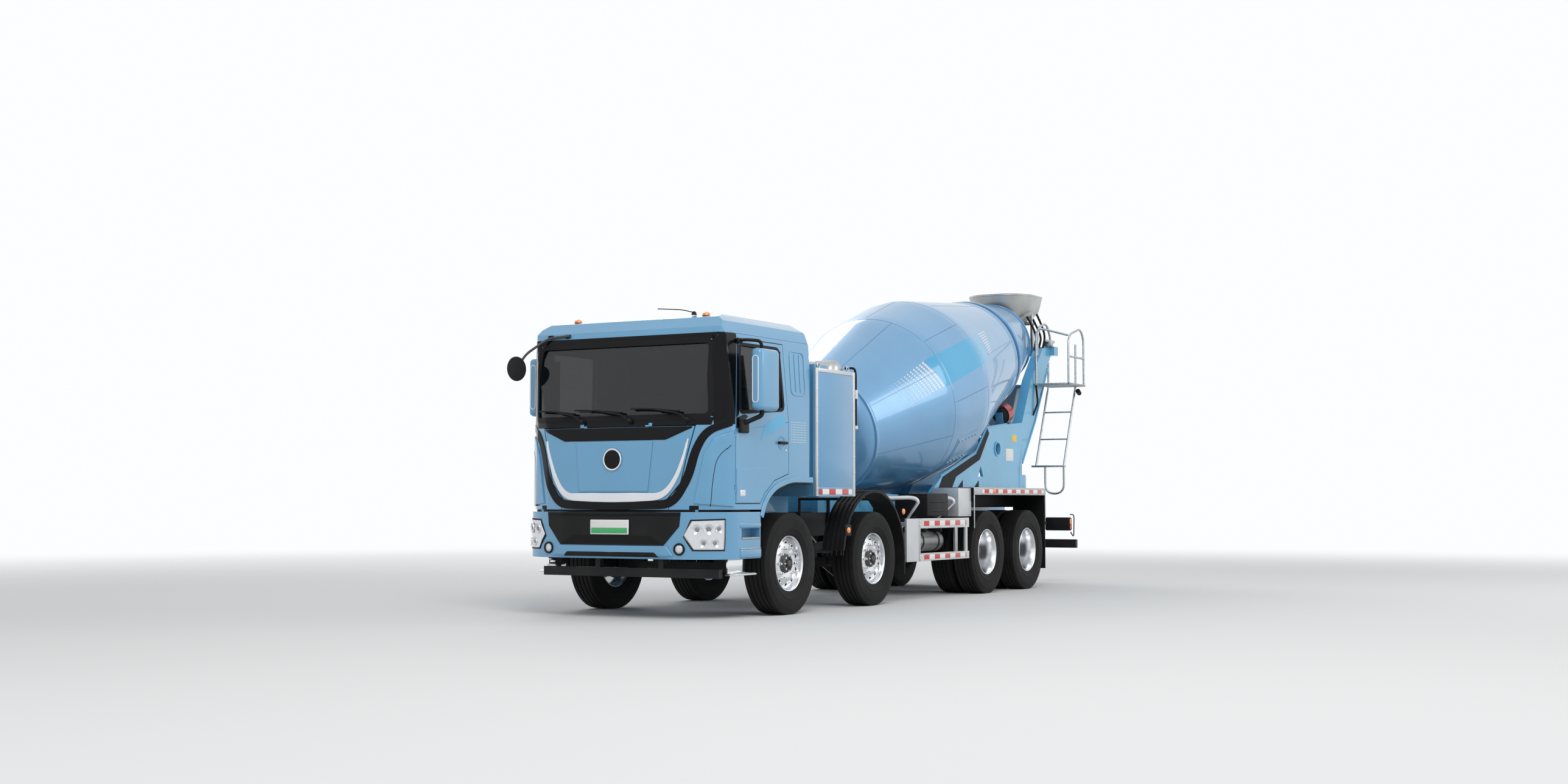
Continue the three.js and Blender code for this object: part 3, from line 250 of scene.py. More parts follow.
def sweep(profile: np.ndarray, path: np.ndarray, up: Sequence[float] = (0, 0, 1),
          closed: bool = False) -> Mesh:
    """Carry a closed profile along a path: point = path + a * side + b * top, side = tangent x up.

    Args:
        profile: closed outline of (a, b) points, drawn anticlockwise.
        path: the points it follows.
        up: the direction that b leans towards.
        closed: the path returns to its start.

    Returns:
        The mesh, capped at both ends if the path is open.
    """
    path = np.asarray(path, float)
    if closed:
        tangent = np.roll(path, -1, 0) - np.roll(path, 1, 0)
    else:
        tangent = np.gradient(path, axis=0)
    tangent /= np.linalg.norm(tangent, axis=1)[:, None]
    side = np.cross(tangent, np.asarray(up, float))
    side /= np.linalg.norm(side, axis=1)[:, None]
    top = np.cross(side, tangent)
    points = path[:, None] + profile[None, :, :1] * side[:, None] + profile[None, :, 1:] * top[:, None]
    vertices, faces = grid(points, wrap_rows=closed, wrap_columns=True, caps=not closed)
    return vertices, [face[::-1] for face in faces]


def circle(radius: float, sides: int = 12) -> np.ndarray:
    """Closed circle as an outline."""
    angle = np.arange(sides) * 2 * np.pi / sides
    return radius * np.stack([np.cos(angle), np.sin(angle)], -1)


def tube(points: Points, radius: float, bend: float = 0.05, sides: int = 12) -> Mesh:
    """Round bar: a circle carried along a polyline with rounded corners.

    Args:
        points: the polyline.
        radius: the bar's radius.
        bend: how far before and after a corner its bend starts.
        sides: steps around.

    Returns:
        The mesh.
    """
    path = smooth_path(points, bend) if len(points) > 2 else np.asarray(points, float)
    spread = np.abs(np.diff(path, axis=0)).sum(0)
    up = np.eye(3)[int(np.argmin(spread))]
    return sweep(circle(radius, sides), path, up)


def revolved(profile: Points, centre: Sequence[float], axis: Sequence[float],
             sides: int = 48, ring: bool = False) -> Mesh:
    """Surface of revolution: point = centre + s * axis + r * (cos a * u + sin a * v).

    Args:
        profile: (s, r) points, s along the axis. Ends with r = 0 close at a pole.
        centre: the origin of s.
        axis: the axis direction.
        sides: steps around.
        ring: the profile closes on itself.

    Returns:
        The mesh.
    """
    profile = np.asarray(profile, float)
    axis = np.asarray(axis, float) / np.linalg.norm(axis)
    helper = np.eye(3)[int(np.argmin(np.abs(axis)))]
    u = np.cross(axis, helper)
    u /= np.linalg.norm(u)
    v = np.cross(axis, u)
    angle = np.arange(sides) * 2 * np.pi / sides
    around = np.cos(angle)[:, None] * u + np.sin(angle)[:, None] * v
    points = (np.asarray(centre, float) + profile[:, None, :1] * axis
              + profile[:, None, 1:] * around[None])
    return grid(points, wrap_rows=ring, wrap_columns=True, caps=not ring)


def slab(outline: Points, axis: str, start: float, end: float) -> Mesh:
    """Plate: a flat outline at two places along an axis, joined by straight sides.

    Args:
        outline: points in the two other axes, in their order X, Y, Z.
        axis: X, Y or Z, the way the plate is thick.
        start: one face's place along the axis.
        end: the other face's place.

    Returns:
        The mesh.
    """
    outline = np.asarray(outline, float)
    k = "XYZ".index(axis)
    points = np.zeros((2, len(outline), 3))
    others = [n for n in range(3) if n != k]
    points[:, :, others] = outline[None]
    points[0, :, k], points[1, :, k] = start, end
    return grid(points, wrap_columns=True, caps=True)


def hexagon_nut(centre: Sequence[float], axis: Sequence[float], radius: float, height: float) -> Mesh:
    """Nut: six-sided profile of revolution with a drawn-in top."""
    return revolved([(0, radius), (height * 0.8, radius), (height, radius * 0.75)], centre, axis, 6)


def boxes_on(side: int, boxes: Iterable[Box], radius: float) -> Mesh:
    """Rounded boxes on one side of the truck.

    Args:
        side: 1 on the left, -1 for the mirror places on the right.
        boxes: (x0, x1, y0, y1, z0, z1) each, from the ground under the first axle.
        radius: radius of every edge.

    Returns:
        The mesh.
    """
    parts = []
    for x0, x1, y0, y1, z0, z1 in boxes:
        low, high = sorted((side * x0, side * x1))
        parts.append(rounded_box(truck(low, y0, z0), truck(high, y1, z1), radius))
    return joined(parts)


def bolt_circle(centre: Sequence[float], axis: str, radius: float, count: int,
                first: float = 0.0) -> np.ndarray:
    """Places of bolts on a circle about an axis.

    Args:
        centre: the circle's middle.
        axis: X, Y or Z.
        radius: the circle's radius.
        count: how many bolts.
        first: the first one's angle in radians.

    Returns:
        One point for each bolt.
    """
    angle = first + np.arange(count) * 2 * np.pi / count
    k = "XYZ".index(axis)
    places = np.zeros((count, 3))
    places[:, (k + 1) % 3] = radius * np.cos(angle)
    places[:, (k + 2) % 3] = radius * np.sin(angle)
    return places + np.asarray(centre, float)


# ---------------------------------------------------------------------------
# Finishes
# ---------------------------------------------------------------------------

Colour = tuple[float, float, float]


class Value:
    """A shader number: Python's operators on it add Math nodes."""

    def __init__(self, shader: "Shader", socket: bpy.types.NodeSocket) -> None:
        """Wrap one output socket of a shader's node."""
        self.shader = shader
        self.socket = socket

    def math(self, operation: str, *others: "Value | float", first: bool = True) -> "Value":
        """Add one Math node, with this value first or last among its inputs."""
        inputs = [self, *others] if first else [*others, self]
        node = self.shader.node("ShaderNodeMath", {"operation": operation}, dict(enumerate(inputs)))
        return Value(self.shader, node.outputs[0])

    def __add__(self, other: "Value | float") -> "Value":
        """Sum."""
        return self.math("ADD", other)

    def __sub__(self, other: "Value | float") -> "Value":
        """Difference."""
        return self.math("SUBTRACT", other)

    def __rsub__(self, other: float) -> "Value":
        """Difference from a number."""
        return self.math("SUBTRACT", other, first=False)

    def __mul__(self, other: "Value | float") -> "Value":
        """Product."""
        return self.math("MULTIPLY", other)

    def __truediv__(self, other: "Value | float") -> "Value":
        """Quotient."""
        return self.math("DIVIDE", other)

    def __abs__(self) -> "Value":
        """Distance from zero."""
        return self.math("ABSOLUTE")

    __radd__ = __add__
    __rmul__ = __mul__

    def above(self, edge: float) -> "Value":
        """One where the value is over an edge, otherwise zero."""
        return self.math("GREATER_THAN", edge)

    def fraction(self) -> "Value":
        """What is left after whole numbers."""
        return self.math("FRACT")

    def floor(self) -> "Value":
        """The whole number below."""
        return self.math("FLOOR")

    def root(self) -> "Value":
        """Square root."""
        return self.math("SQRT")

    def sine(self) -> "Value":
        """Sine of an angle in radians."""
        return self.math("SINE")

    def ramp(self, start: float, end: float) -> "Value":
        """Smooth step from 0 at start to 1 at end."""
        node = self.shader.node("ShaderNodeMapRange", {"interpolation_type": "SMOOTHSTEP"},
                                {0: self, 1: start, 2: end, 3: 0.0, 4: 1.0})
        return Value(self.shader, node.outputs[0])


class Shader:
    """A material's node tree, with one method that makes any node."""

    def __init__(self, name: str) -> None:
        """Start a material with one Principled shader."""
        self.material = bpy.data.materials.new(name)
        self.material.use_nodes = True
        self.tree = self.material.node_tree
        self.tree.nodes.clear()
        self.surface = self.node("ShaderNodeBsdfPrincipled")
        out = self.node("ShaderNodeOutputMaterial")
        self.tree.links.new(self.surface.outputs[0], out.inputs[0])

    def node(self, kind: str, settings: dict | None = None, inputs: dict | None = None) -> bpy.types.Node:
        """Add a node.

        Args:
            kind: the node's type.
            settings: its own properties, set before its inputs.
            inputs: values or links, by socket name or number.

        Returns:
            The node.
        """
        node = self.tree.nodes.new(kind)
        for key, value in (settings or {}).items():
            setattr(node, key, value)
        for key, value in (inputs or {}).items():
            self.feed(node.inputs[key], value)
        return node

    def feed(self, socket: bpy.types.NodeSocket, value: object) -> None:
        """Link or set one input socket.

        Args:
            socket: the input.
            value: a value or a link.
        """
        if isinstance(value, Value):
            self.tree.links.new(value.socket, socket)
        elif isinstance(value, bpy.types.NodeSocket):
            self.tree.links.new(value, socket)
        elif isinstance(value, tuple) and len(value) == 3 and socket.type == "RGBA":
            socket.default_value = (*value, 1.0)
        else:
            socket.default_value = value

    def place(self) -> bpy.types.NodeSocket:
        """Object coordinates, which are metres in the truck's frame."""
        return self.node("ShaderNodeTexCoord").outputs["Object"]

    def axes(self) -> tuple[Value, Value, Value]:
        """The three Object coordinates."""
        split = self.node("ShaderNodeSeparateXYZ", None, {0: self.place()})
        return tuple(Value(self, out) for out in split.outputs)

    def noise(self, scale: float, detail: float = 3.0, stretch: Point = (1, 1, 1)) -> Value:
        """Noise over Object coordinates, in cells per metre, drawn out along the axes.

        Args:
            scale: cells per metre.
            detail: how many finer layers.
            stretch: the scale along each axis.

        Returns:
            The noise, 0 to 1.
        """
        mapping = self.node("ShaderNodeMapping", None, {"Vector": self.place(), "Scale": stretch})
        texture = self.node("ShaderNodeTexNoise", None, {
            "Vector": mapping.outputs[0], "Scale": scale, "Detail": detail})
        return Value(self, texture.outputs[0])

    def cells(self, scale: float, feature: str = "F1") -> bpy.types.Node:
        """Voronoi cells over Object coordinates."""
        return self.node("ShaderNodeTexVoronoi", {"feature": feature},
                         {"Vector": self.place(), "Scale": scale})

    def mix(self, factor: Value | float, first: object, second: object) -> bpy.types.NodeSocket:
        """Blend two colours."""
        node = self.node("ShaderNodeMix", {"data_type": "RGBA"}, {0: factor, 6: first, 7: second})
        return node.outputs[2]

    def bump(self, height: Value, distance: float, strength: float = 1.0) -> None:
        """Give the surface a relief of a real height in metres."""
        node = self.node("ShaderNodeBump", None, {
            "Height": height, "Distance": distance, "Strength": strength})
        self.feed(self.surface.inputs["Normal"], node.outputs[0])

    def set(self, **inputs: object) -> None:
        """Set the surface's sockets: an underscore in a name is a space."""
        for name, value in inputs.items():
            self.feed(self.surface.inputs[name.replace("_", " ")], value)


def lighter(colour: Colour, factor: float) -> Colour:
    """Multiply a colour, kept under 1."""
    return tuple(min(1.0, channel * factor) for channel in colour)


@dataclass(frozen=True)
class Finish:
    """A plain finish: one colour that drifts a little, with grain, and dust towards the ground.

    Attributes:
        name: the material's name.
        colour: linear colour.
        roughness: middle roughness.
        metallic: 1 on bare metal.
        coat: clear coat's weight.
        drift: how much the colour varies.
        grain: cells per metre of the fine relief.
        relief: height of that relief in metres.
        dust: share of road dust at the ground.
        stretch: the grain's stretch along the axes.
        specular: how strongly the bare surface mirrors.
    """

    name: str
    colour: Colour
    roughness: float = 0.5
    metallic: float = 0.0
    coat: float = 0.0
    drift: float = 0.08
    grain: float = 900.0
    relief: float = 0.0001
    dust: float = 0.0
    stretch: Point = (1, 1, 1)
    specular: float = 0.5

    def tint(self, shader: Shader) -> object:
        """Return the colour over the surface, before the dust."""
        patches = shader.noise(2.2, 4.0)
        return shader.mix(patches.ramp(0.35, 0.65), lighter(self.colour, 1 - self.drift),
                          lighter(self.colour, 1 + self.drift))

    def gloss(self, shader: Shader) -> Value:
        """Return the roughness over the surface, before the dust."""
        return self.roughness * (0.85 + 0.3 * shader.noise(7.0, 5.0))

    def extra(self, shader: Shader) -> None:
        """Set what only this finish has."""

    def material(self) -> bpy.types.Material:
        """Build the material once, and return it.

        Returns:
            The material.
        """
        known = bpy.data.materials.get(f"{self.name}_finish")
        if known:
            return known
        shader = Shader(f"{self.name}_finish")
        grain = shader.noise(self.grain, 2.0, self.stretch)
        tint, gloss = self.tint(shader), self.gloss(shader)
        if self.dust:
            height = shader.axes()[2]
            film = self.dust * (1 - height.ramp(0.1, 1.5)) * shader.noise(3.5, 6.0).ramp(0.3, 0.75)
            tint = shader.mix(film, tint, (0.25, 0.235, 0.21))
            gloss = gloss + film * 0.5
        shader.set(Base_Color=tint, Roughness=gloss, Metallic=self.metallic, Coat_Weight=self.coat,
                   Coat_Roughness=0.04, Specular_IOR_Level=self.specular)
        shader.bump(grain, self.relief)
        self.extra(shader)
        return shader.material


@dataclass(frozen=True)
class FlakePaint(Finish):
    """Metallic car paint: fine flakes in the colour under a clear coat."""

    def tint(self, shader: Shader) -> object:
        """Flakes are small cells, each a little lighter or darker."""
        flakes = Value(shader, shader.cells(1400.0).outputs["Color"]).ramp(0.2, 0.8)
        broad = super().tint(shader)
        return shader.mix(flakes * 0.05, broad, lighter(self.colour, 1.35))


@dataclass(frozen=True)
class Galvanised(Finish):
    """Zinc coat: crystals of a few centimetres, each with its own grey and gloss."""

    def tint(self, shader: Shader) -> object:
        """Spangle from Voronoi cells."""
        spangle = Value(shader, shader.cells(55.0).outputs["Color"]).ramp(0.1, 0.9)
        return shader.mix(spangle, lighter(self.colour, 0.82), lighter(self.colour, 1.12))

    def gloss(self, shader: Shader) -> Value:
        """Crystals differ in gloss as well."""
        spangle = Value(shader, shader.cells(55.0).outputs["Color"]).ramp(0.1, 0.9)
        return self.roughness + 0.16 * spangle


@dataclass(frozen=True)
class Stripes(Finish):
    """Marking tape: slanting stripes of two colours, along Y."""

    second: Colour = (0.85, 0.85, 0.83)
    pitch: float = 0.3
    slant: float = 0.0

    def tint(self, shader: Shader) -> object:
        """A stripe is where the fraction of (y + slant z) / pitch is under a half."""
        x, y, z = shader.axes()
        stripe = ((x + y + self.slant * z) / self.pitch).fraction().above(0.5)
        return shader.mix(stripe, self.colour, self.second)


@dataclass(frozen=True)
class Weave(Finish):
    """Seat cloth: two crossed sets of threads."""

    def extra(self, shader: Shader) -> None:
        """The relief is the product of two sines, 500 threads to the metre."""
        x, y, z = shader.axes()
        threads = (x * 1600).sine() * ((y + z) * 1600).sine()
        shader.bump(threads, 0.0004)


@dataclass(frozen=True)
class Lens(Finish):
    """Moulded lamp lens: small flutes behind a smooth face."""

    glow: float = 0.0

    def extra(self, shader: Shader) -> None:
        """The flutes are a sine along X and Y."""
        x, _, z = shader.axes()
        shader.bump((x * 420).sine() * (z * 420).sine(), 0.0008)
        shader.set(Emission_Color=self.colour, Emission_Strength=self.glow, Specular_IOR_Level=0.7)


@dataclass(frozen=True)
class Glass(Finish):
    """Tinted safety glass that shows what is behind it."""

    clear: float = 0.62

    def extra(self, shader: Shader) -> None:
        """The tint stands in the alpha."""
        shader.set(Alpha=self.clear, Specular_IOR_Level=0.6)


@dataclass(frozen=True)
class Cover(Glass):
    """Clear lamp cover."""

    clear: float = 0.16


@dataclass(frozen=True)
class Brushed(Finish):
    """Bare sheet with a brushed grain and a few stains."""

    def gloss(self, shader: Shader) -> Value:
        """Fine lines drawn out along X and Y make the gloss uneven."""
        return self.roughness * (0.7 + 0.6 * shader.noise(60.0, 4.0, (0.08, 0.08, 6.0)))


PAINTS_OF_SLOT: dict[str, str] = {
    "black_plastic": "PLASTIC GLOSS_BLACK SEAL",
    "galvanised": "ZINC LIGHT",
    "alloy": "ALLOY CHROME",
    "glass": "GLASS CLEAR COVER MIRROR",
    "frame_paint": "FRAME RED_PAINT YELLOW",
    "drum_paint": "DRUM SEAM",
    "interior_trim": "TRIM CLOTH",
    "chassis_black": "CHASSIS",
    "tyre_rubber": "RUBBER",
    "cab_paint": "CAB PANEL SILVER AMBER RED GREEN WHITE CYAN",
}


class Paint(Enum):
    """Every finish on the truck."""

    CAB = FlakePaint("cab_paint", (0.125, 0.355, 0.575), 0.34, 0.1, 0.8, 0.02, 900, 0.000004, 0.0)
    FRAME = Finish("frame_paint", (0.12, 0.43, 0.68), 0.33, 0.0, 0.7, 0.05, 300, 0.00008, 0.25)
    PANEL = FlakePaint("panel_paint", (0.085, 0.3, 0.54), 0.34, 0.0, 1.0, 0.02, 900, 0.00001, 0.1)
    DRUM = FlakePaint("drum_paint", (0.17, 0.39, 0.64), 0.32, 0.25, 0.7, 0.03, 900, 0.00001, 0.1)
    LIGHT = Finish("light_steel", (0.62, 0.64, 0.655), 0.34, 0.55, 0.2, 0.05, 260, 0.00006, 0.15)
    SEAM = Finish("drum_seam", (0.06, 0.13, 0.24), 0.4, 0.0, 0.4, 0.05, 300, 0.00002)
    CHASSIS = Finish("chassis_black", (0.01, 0.0105, 0.012), 0.45, 0.0, 0.05, 0.2, 260, 0.0002, 0.1,
                     specular=0.25)
    RUBBER = Finish("tyre_rubber", (0.0085, 0.0085, 0.009), 0.7, 0.0, 0.0, 0.25, 500, 0.0003, 0.05,
                    specular=0.2)
    SEAL = Finish("rubber_seal", (0.008, 0.008, 0.009), 0.5, 0.0, 0.0, 0.1, 400, 0.0001, specular=0.15)
    ALLOY = Brushed("alloy", (0.8, 0.81, 0.83), 0.2, 1.0, 0.0, 0.03, 300, 0.00004)
    HUB = Finish("hub_steel", (0.09, 0.09, 0.095), 0.5, 0.6, 0.0, 0.15, 150, 0.0006, 0.3)
    ZINC = Galvanised("galvanised", (0.5, 0.52, 0.53), 0.3, 0.85, 0.0, 0.05, 120, 0.0001, 0.15)
    STEEL = Brushed("stainless", (0.46, 0.47, 0.47), 0.38, 0.9, 0.0, 0.1, 200, 0.00008, 0.0)
    PLASTIC = Finish("black_plastic", (0.0075, 0.0078, 0.0085), 0.5, 0.0, 0.0, 0.15, 1300, 0.0003, 0.06,
                     specular=0.2)
    GLOSS_BLACK = Finish("gloss_black", (0.003, 0.003, 0.004), 0.18, 0.0, 0.12, 0.05, 100, 0.00002,
                         specular=0.12)
    TRIM = Finish("interior_trim", (0.012, 0.0125, 0.014), 0.6, 0.0, 0.0, 0.1, 1500, 0.0003, specular=0.2)
    CLOTH = Weave("seat_cloth", (0.03, 0.032, 0.038), 0.85)
    GLASS = Glass("glass", (0.005, 0.007, 0.008), 0.03, 0.0, 0.4, 0.02, 20, 0.00001)
    MIRROR = Finish("mirror_glass", (0.75, 0.77, 0.79), 0.03, 1.0, 0.0, 0.01, 20, 0.000005)
    CHROME = Finish("chrome", (0.8, 0.81, 0.82), 0.07, 1.0, 0.0, 0.02, 60, 0.000005)
    SILVER = FlakePaint("silver_paint", (0.8, 0.82, 0.85), 0.3, 0.25, 0.6, 0.02)
    AMBER = Lens("amber_lens", (0.9, 0.24, 0.01), 0.12, 0.0, 1.0, 0.05, 60, 0.0001, glow=0.12)
    RED = Lens("red_lens", (0.55, 0.01, 0.01), 0.12, 0.0, 1.0, 0.05, 60, 0.0001, glow=0.05)
    CLEAR = Lens("clear_lens", (0.72, 0.76, 0.8), 0.06, 0.3, 1.0, 0.05, 60, 0.0001)
    RED_PAINT = Finish("red_paint", (0.42, 0.015, 0.012), 0.35, 0.0, 0.6, 0.06, 200, 0.00005)
    YELLOW = Finish("yellow_label", (0.85, 0.55, 0.02), 0.4, 0.0, 0.3, 0.03, 200, 0.00002)
    GREEN = Finish("green_band", (0.05, 0.42, 0.14), 0.35, 0.0, 0.4, 0.05, 200, 0.00002)
    COVER = Cover("lamp_cover", (0.8, 0.84, 0.88), 0.04, 0.0, 1.0, 0.02, 20, 0.00001)
    WHITE = Finish("white_plate", (0.8, 0.8, 0.78), 0.35, 0.0, 0.4, 0.03, 200, 0.00002)
    CYAN = Finish("cyan_film", (0.03, 0.4, 0.7), 0.3, 0.0, 0.8, 0.03, 200, 0.00002)
    TAPE = Stripes("marking_tape", (0.6, 0.02, 0.015), 0.3, 0.0, 0.4, 0.03, 2500, 0.0001)

    @property
    def slot(self) -> str:
        """The record's material slot that pieces in this finish usually take."""
        return next(slot for slot, names in PAINTS_OF_SLOT.items() if self.name in names.split())

    def dress(self, piece: bpy.types.Object) -> None:
        """Give a piece this finish as its only material."""
        piece.data.materials.clear()
        piece.data.materials.append(self.value.material())


# ---------------------------------------------------------------------------
# Pieces
# ---------------------------------------------------------------------------

BEVEL_ANGLE = math.radians(28)


def weld(mesh: bpy.types.Mesh, flat_angle: float = 0.0) -> None:
    """Merge a mesh's doubles, make flat regions one face, and point its faces outwards.

    Args:
        mesh: the mesh.
        flat_angle: regions flatter than this become one face, or 0.
    """
    work = bmesh.new()
    work.from_mesh(mesh)
    bmesh.ops.remove_doubles(work, verts=work.verts, dist=0.00002)
    if flat_angle:
        bmesh.ops.dissolve_limit(work, angle_limit=flat_angle, verts=work.verts, edges=work.edges)
    bmesh.ops.recalc_face_normals(work, faces=work.faces)
    work.to_mesh(mesh)
    work.free()


def shade(piece: bpy.types.Object, degrees: float = 35.0) -> None:
    """Shade a piece smooth, except over edges sharper than an angle.

    Args:
        piece: the piece.
        degrees: the angle over which an edge stays sharp.
    """
    mesh = piece.data
    mesh.polygons.foreach_set("use_smooth", np.ones(len(mesh.polygons), bool))
    work = bmesh.new()
    work.from_mesh(mesh)
    limit = math.radians(degrees)
    for edge in work.edges:
        edge.smooth = len(edge.link_faces) == 2 and edge.calc_face_angle(0.0) < limit
    work.to_mesh(mesh)
    work.free()


def bevel(piece: bpy.types.Object, width: float, segments: int = 2) -> None:
    """Round a piece's sharp edges to a width.

    Args:
        piece: the piece.
        width: how wide the rounding is.
        segments: steps in the rounding.
    """
    modifier = piece.modifiers.new("edges", "BEVEL")
    modifier.width = width
    modifier.segments = segments
    modifier.limit_method = "ANGLE"
    modifier.angle_limit = BEVEL_ANGLE
    modifier.use_clamp_overlap = True
    modifier.harden_normals = False
    weighted = piece.modifiers.new("normals", "WEIGHTED_NORMAL")
    weighted.keep_sharp = False


def make(name: str, mesh: Mesh, body: str, paint: Paint, edge: float = 0.0, smooth: float = 35.0,
         slot: str | None = None, replaces: Sequence[str] = ()) -> bpy.types.Object:
    """Make a piece from a mesh, dress it and let it ride on a body.

    Args:
        name: the piece's name.
        mesh: its vertices and faces.
        body: the body it rides on.
        paint: its finish.
        edge: width of its rounded edges, or 0.
        smooth: the angle in degrees over which an edge stays sharp.
        slot: the record's material slot, if it isn't the finish's usual one; not used.
        replaces: CAD nodes that it stands for.

    Returns:
        The piece.
    """
    data = bpy.data.meshes.new(name)
    data.from_pydata(np.asarray(mesh[0], float).tolist(), [], mesh[1])
    data.validate()
    piece = bpy.data.objects.new(name, data)
    bpy.context.scene.collection.objects.link(piece)
    weld(data)
    if edge:
        bevel(piece, edge)
        piece.data.polygons.foreach_set("use_smooth", np.ones(len(data.polygons), bool))
    else:
        shade(piece, smooth)
    paint.dress(piece)
    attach(piece, body)
    slot or paint.slot
    if replaces:
        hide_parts(*replaces)
    log.info("%s rides on %s", name, body)
    return piece


def body_of(node: str) -> str:
    """Return the body that a CAD node belongs to."""
    return frame["nodes"][node]["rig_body"]


def finished(node: str, paint: Paint, edge: float = 0.004, slot: str | None = None) -> bpy.types.Object:
    """Stand in for a CAD node with its own shape, its doubles merged and its edges rounded.

    Args:
        node: the CAD node.
        paint: its finish.
        edge: width of the rounded edges.
        slot: the record's material slot, if it isn't the finish's usual one; not used.

    Returns:
        The piece.
    """
    data = frame["nodes"][node].data.copy()
    piece = bpy.data.objects.new(f"{node}_finished", data)
    bpy.context.scene.collection.objects.link(piece)
    if data.attributes.get("custom_normal"):
        data.attributes.remove(data.attributes["custom_normal"])
    weld(data, math.radians(1.0))
    data.polygons.foreach_set("use_smooth", np.ones(len(data.polygons), bool))
    bevel(piece, edge)
    paint.dress(piece)
    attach(piece, body_of(node))
    slot or paint.slot
    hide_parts(node)
    log.info("%s stands for its frame node", piece.name)
    return piece


# ---------------------------------------------------------------------------
# Panels that follow the cab's and the bumper's own form
# ---------------------------------------------------------------------------


def resampled(path: Points, count: int) -> np.ndarray:
    """Points at even distances along a polyline.

    Args:
        path: the polyline.
        count: how many points.

    Returns:
        The points.
    """
    path = np.asarray(path, float)
    length = np.concatenate([[0], np.cumsum(np.linalg.norm(np.diff(path, axis=0), axis=1))])
    even = np.linspace(0, length[-1], count)
    return np.stack([np.interp(even, length, path[:, k]) for k in range(path.shape[1])], -1)


def shell(points: np.ndarray, out: float, into: float = 0.004, centre: Sequence[float] = (0, 0, 1.9),
          loop: bool = False) -> Mesh:
    """Thin closed plate over a grid of points: each point moved along its normal by out and by -into.

    Args:
        points: the surface, rows by columns by 3.
        out: how far the plate's face stands proud.
        into: how far its back lies inside.
        centre: a point that the normals point away from.
        loop: the rows close on themselves.

    Returns:
        The mesh.
    """
    rows, columns = points.shape[:2]
    if loop:
        along = np.roll(points, -1, 0) - np.roll(points, 1, 0)
    else:
        along = np.gradient(points, axis=0)
    normal = np.cross(along, np.gradient(points, axis=1))
    normal /= np.linalg.norm(normal, axis=2)[..., None] + 1e-12
    if (normal * (points - np.asarray(centre, float))).sum() < 0:
        normal = -normal
    face, faces = grid(points + normal * out, wrap_rows=loop)
    back, backs = grid(points - normal * into, wrap_rows=loop)
    count = rows * columns
    faces = faces + [[count + k for k in quad[::-1]] for quad in backs]
    top, bottom = np.arange(columns), (rows - 1) * columns + np.arange(columns)
    left, right = np.arange(rows) * columns, np.arange(rows) * columns + columns - 1
    edges = []
    for line in (left, right):
        pairs = zip(line, np.roll(line, -1)) if loop else zip(line[:-1], line[1:])
        edges += list(pairs)
    if not loop:
        edges += list(zip(top[:-1], top[1:])) + list(zip(bottom[:-1], bottom[1:]))
    faces += [[int(a), int(b), int(b + count), int(a + count)] for a, b in edges]
    return np.vstack([face, back]), faces


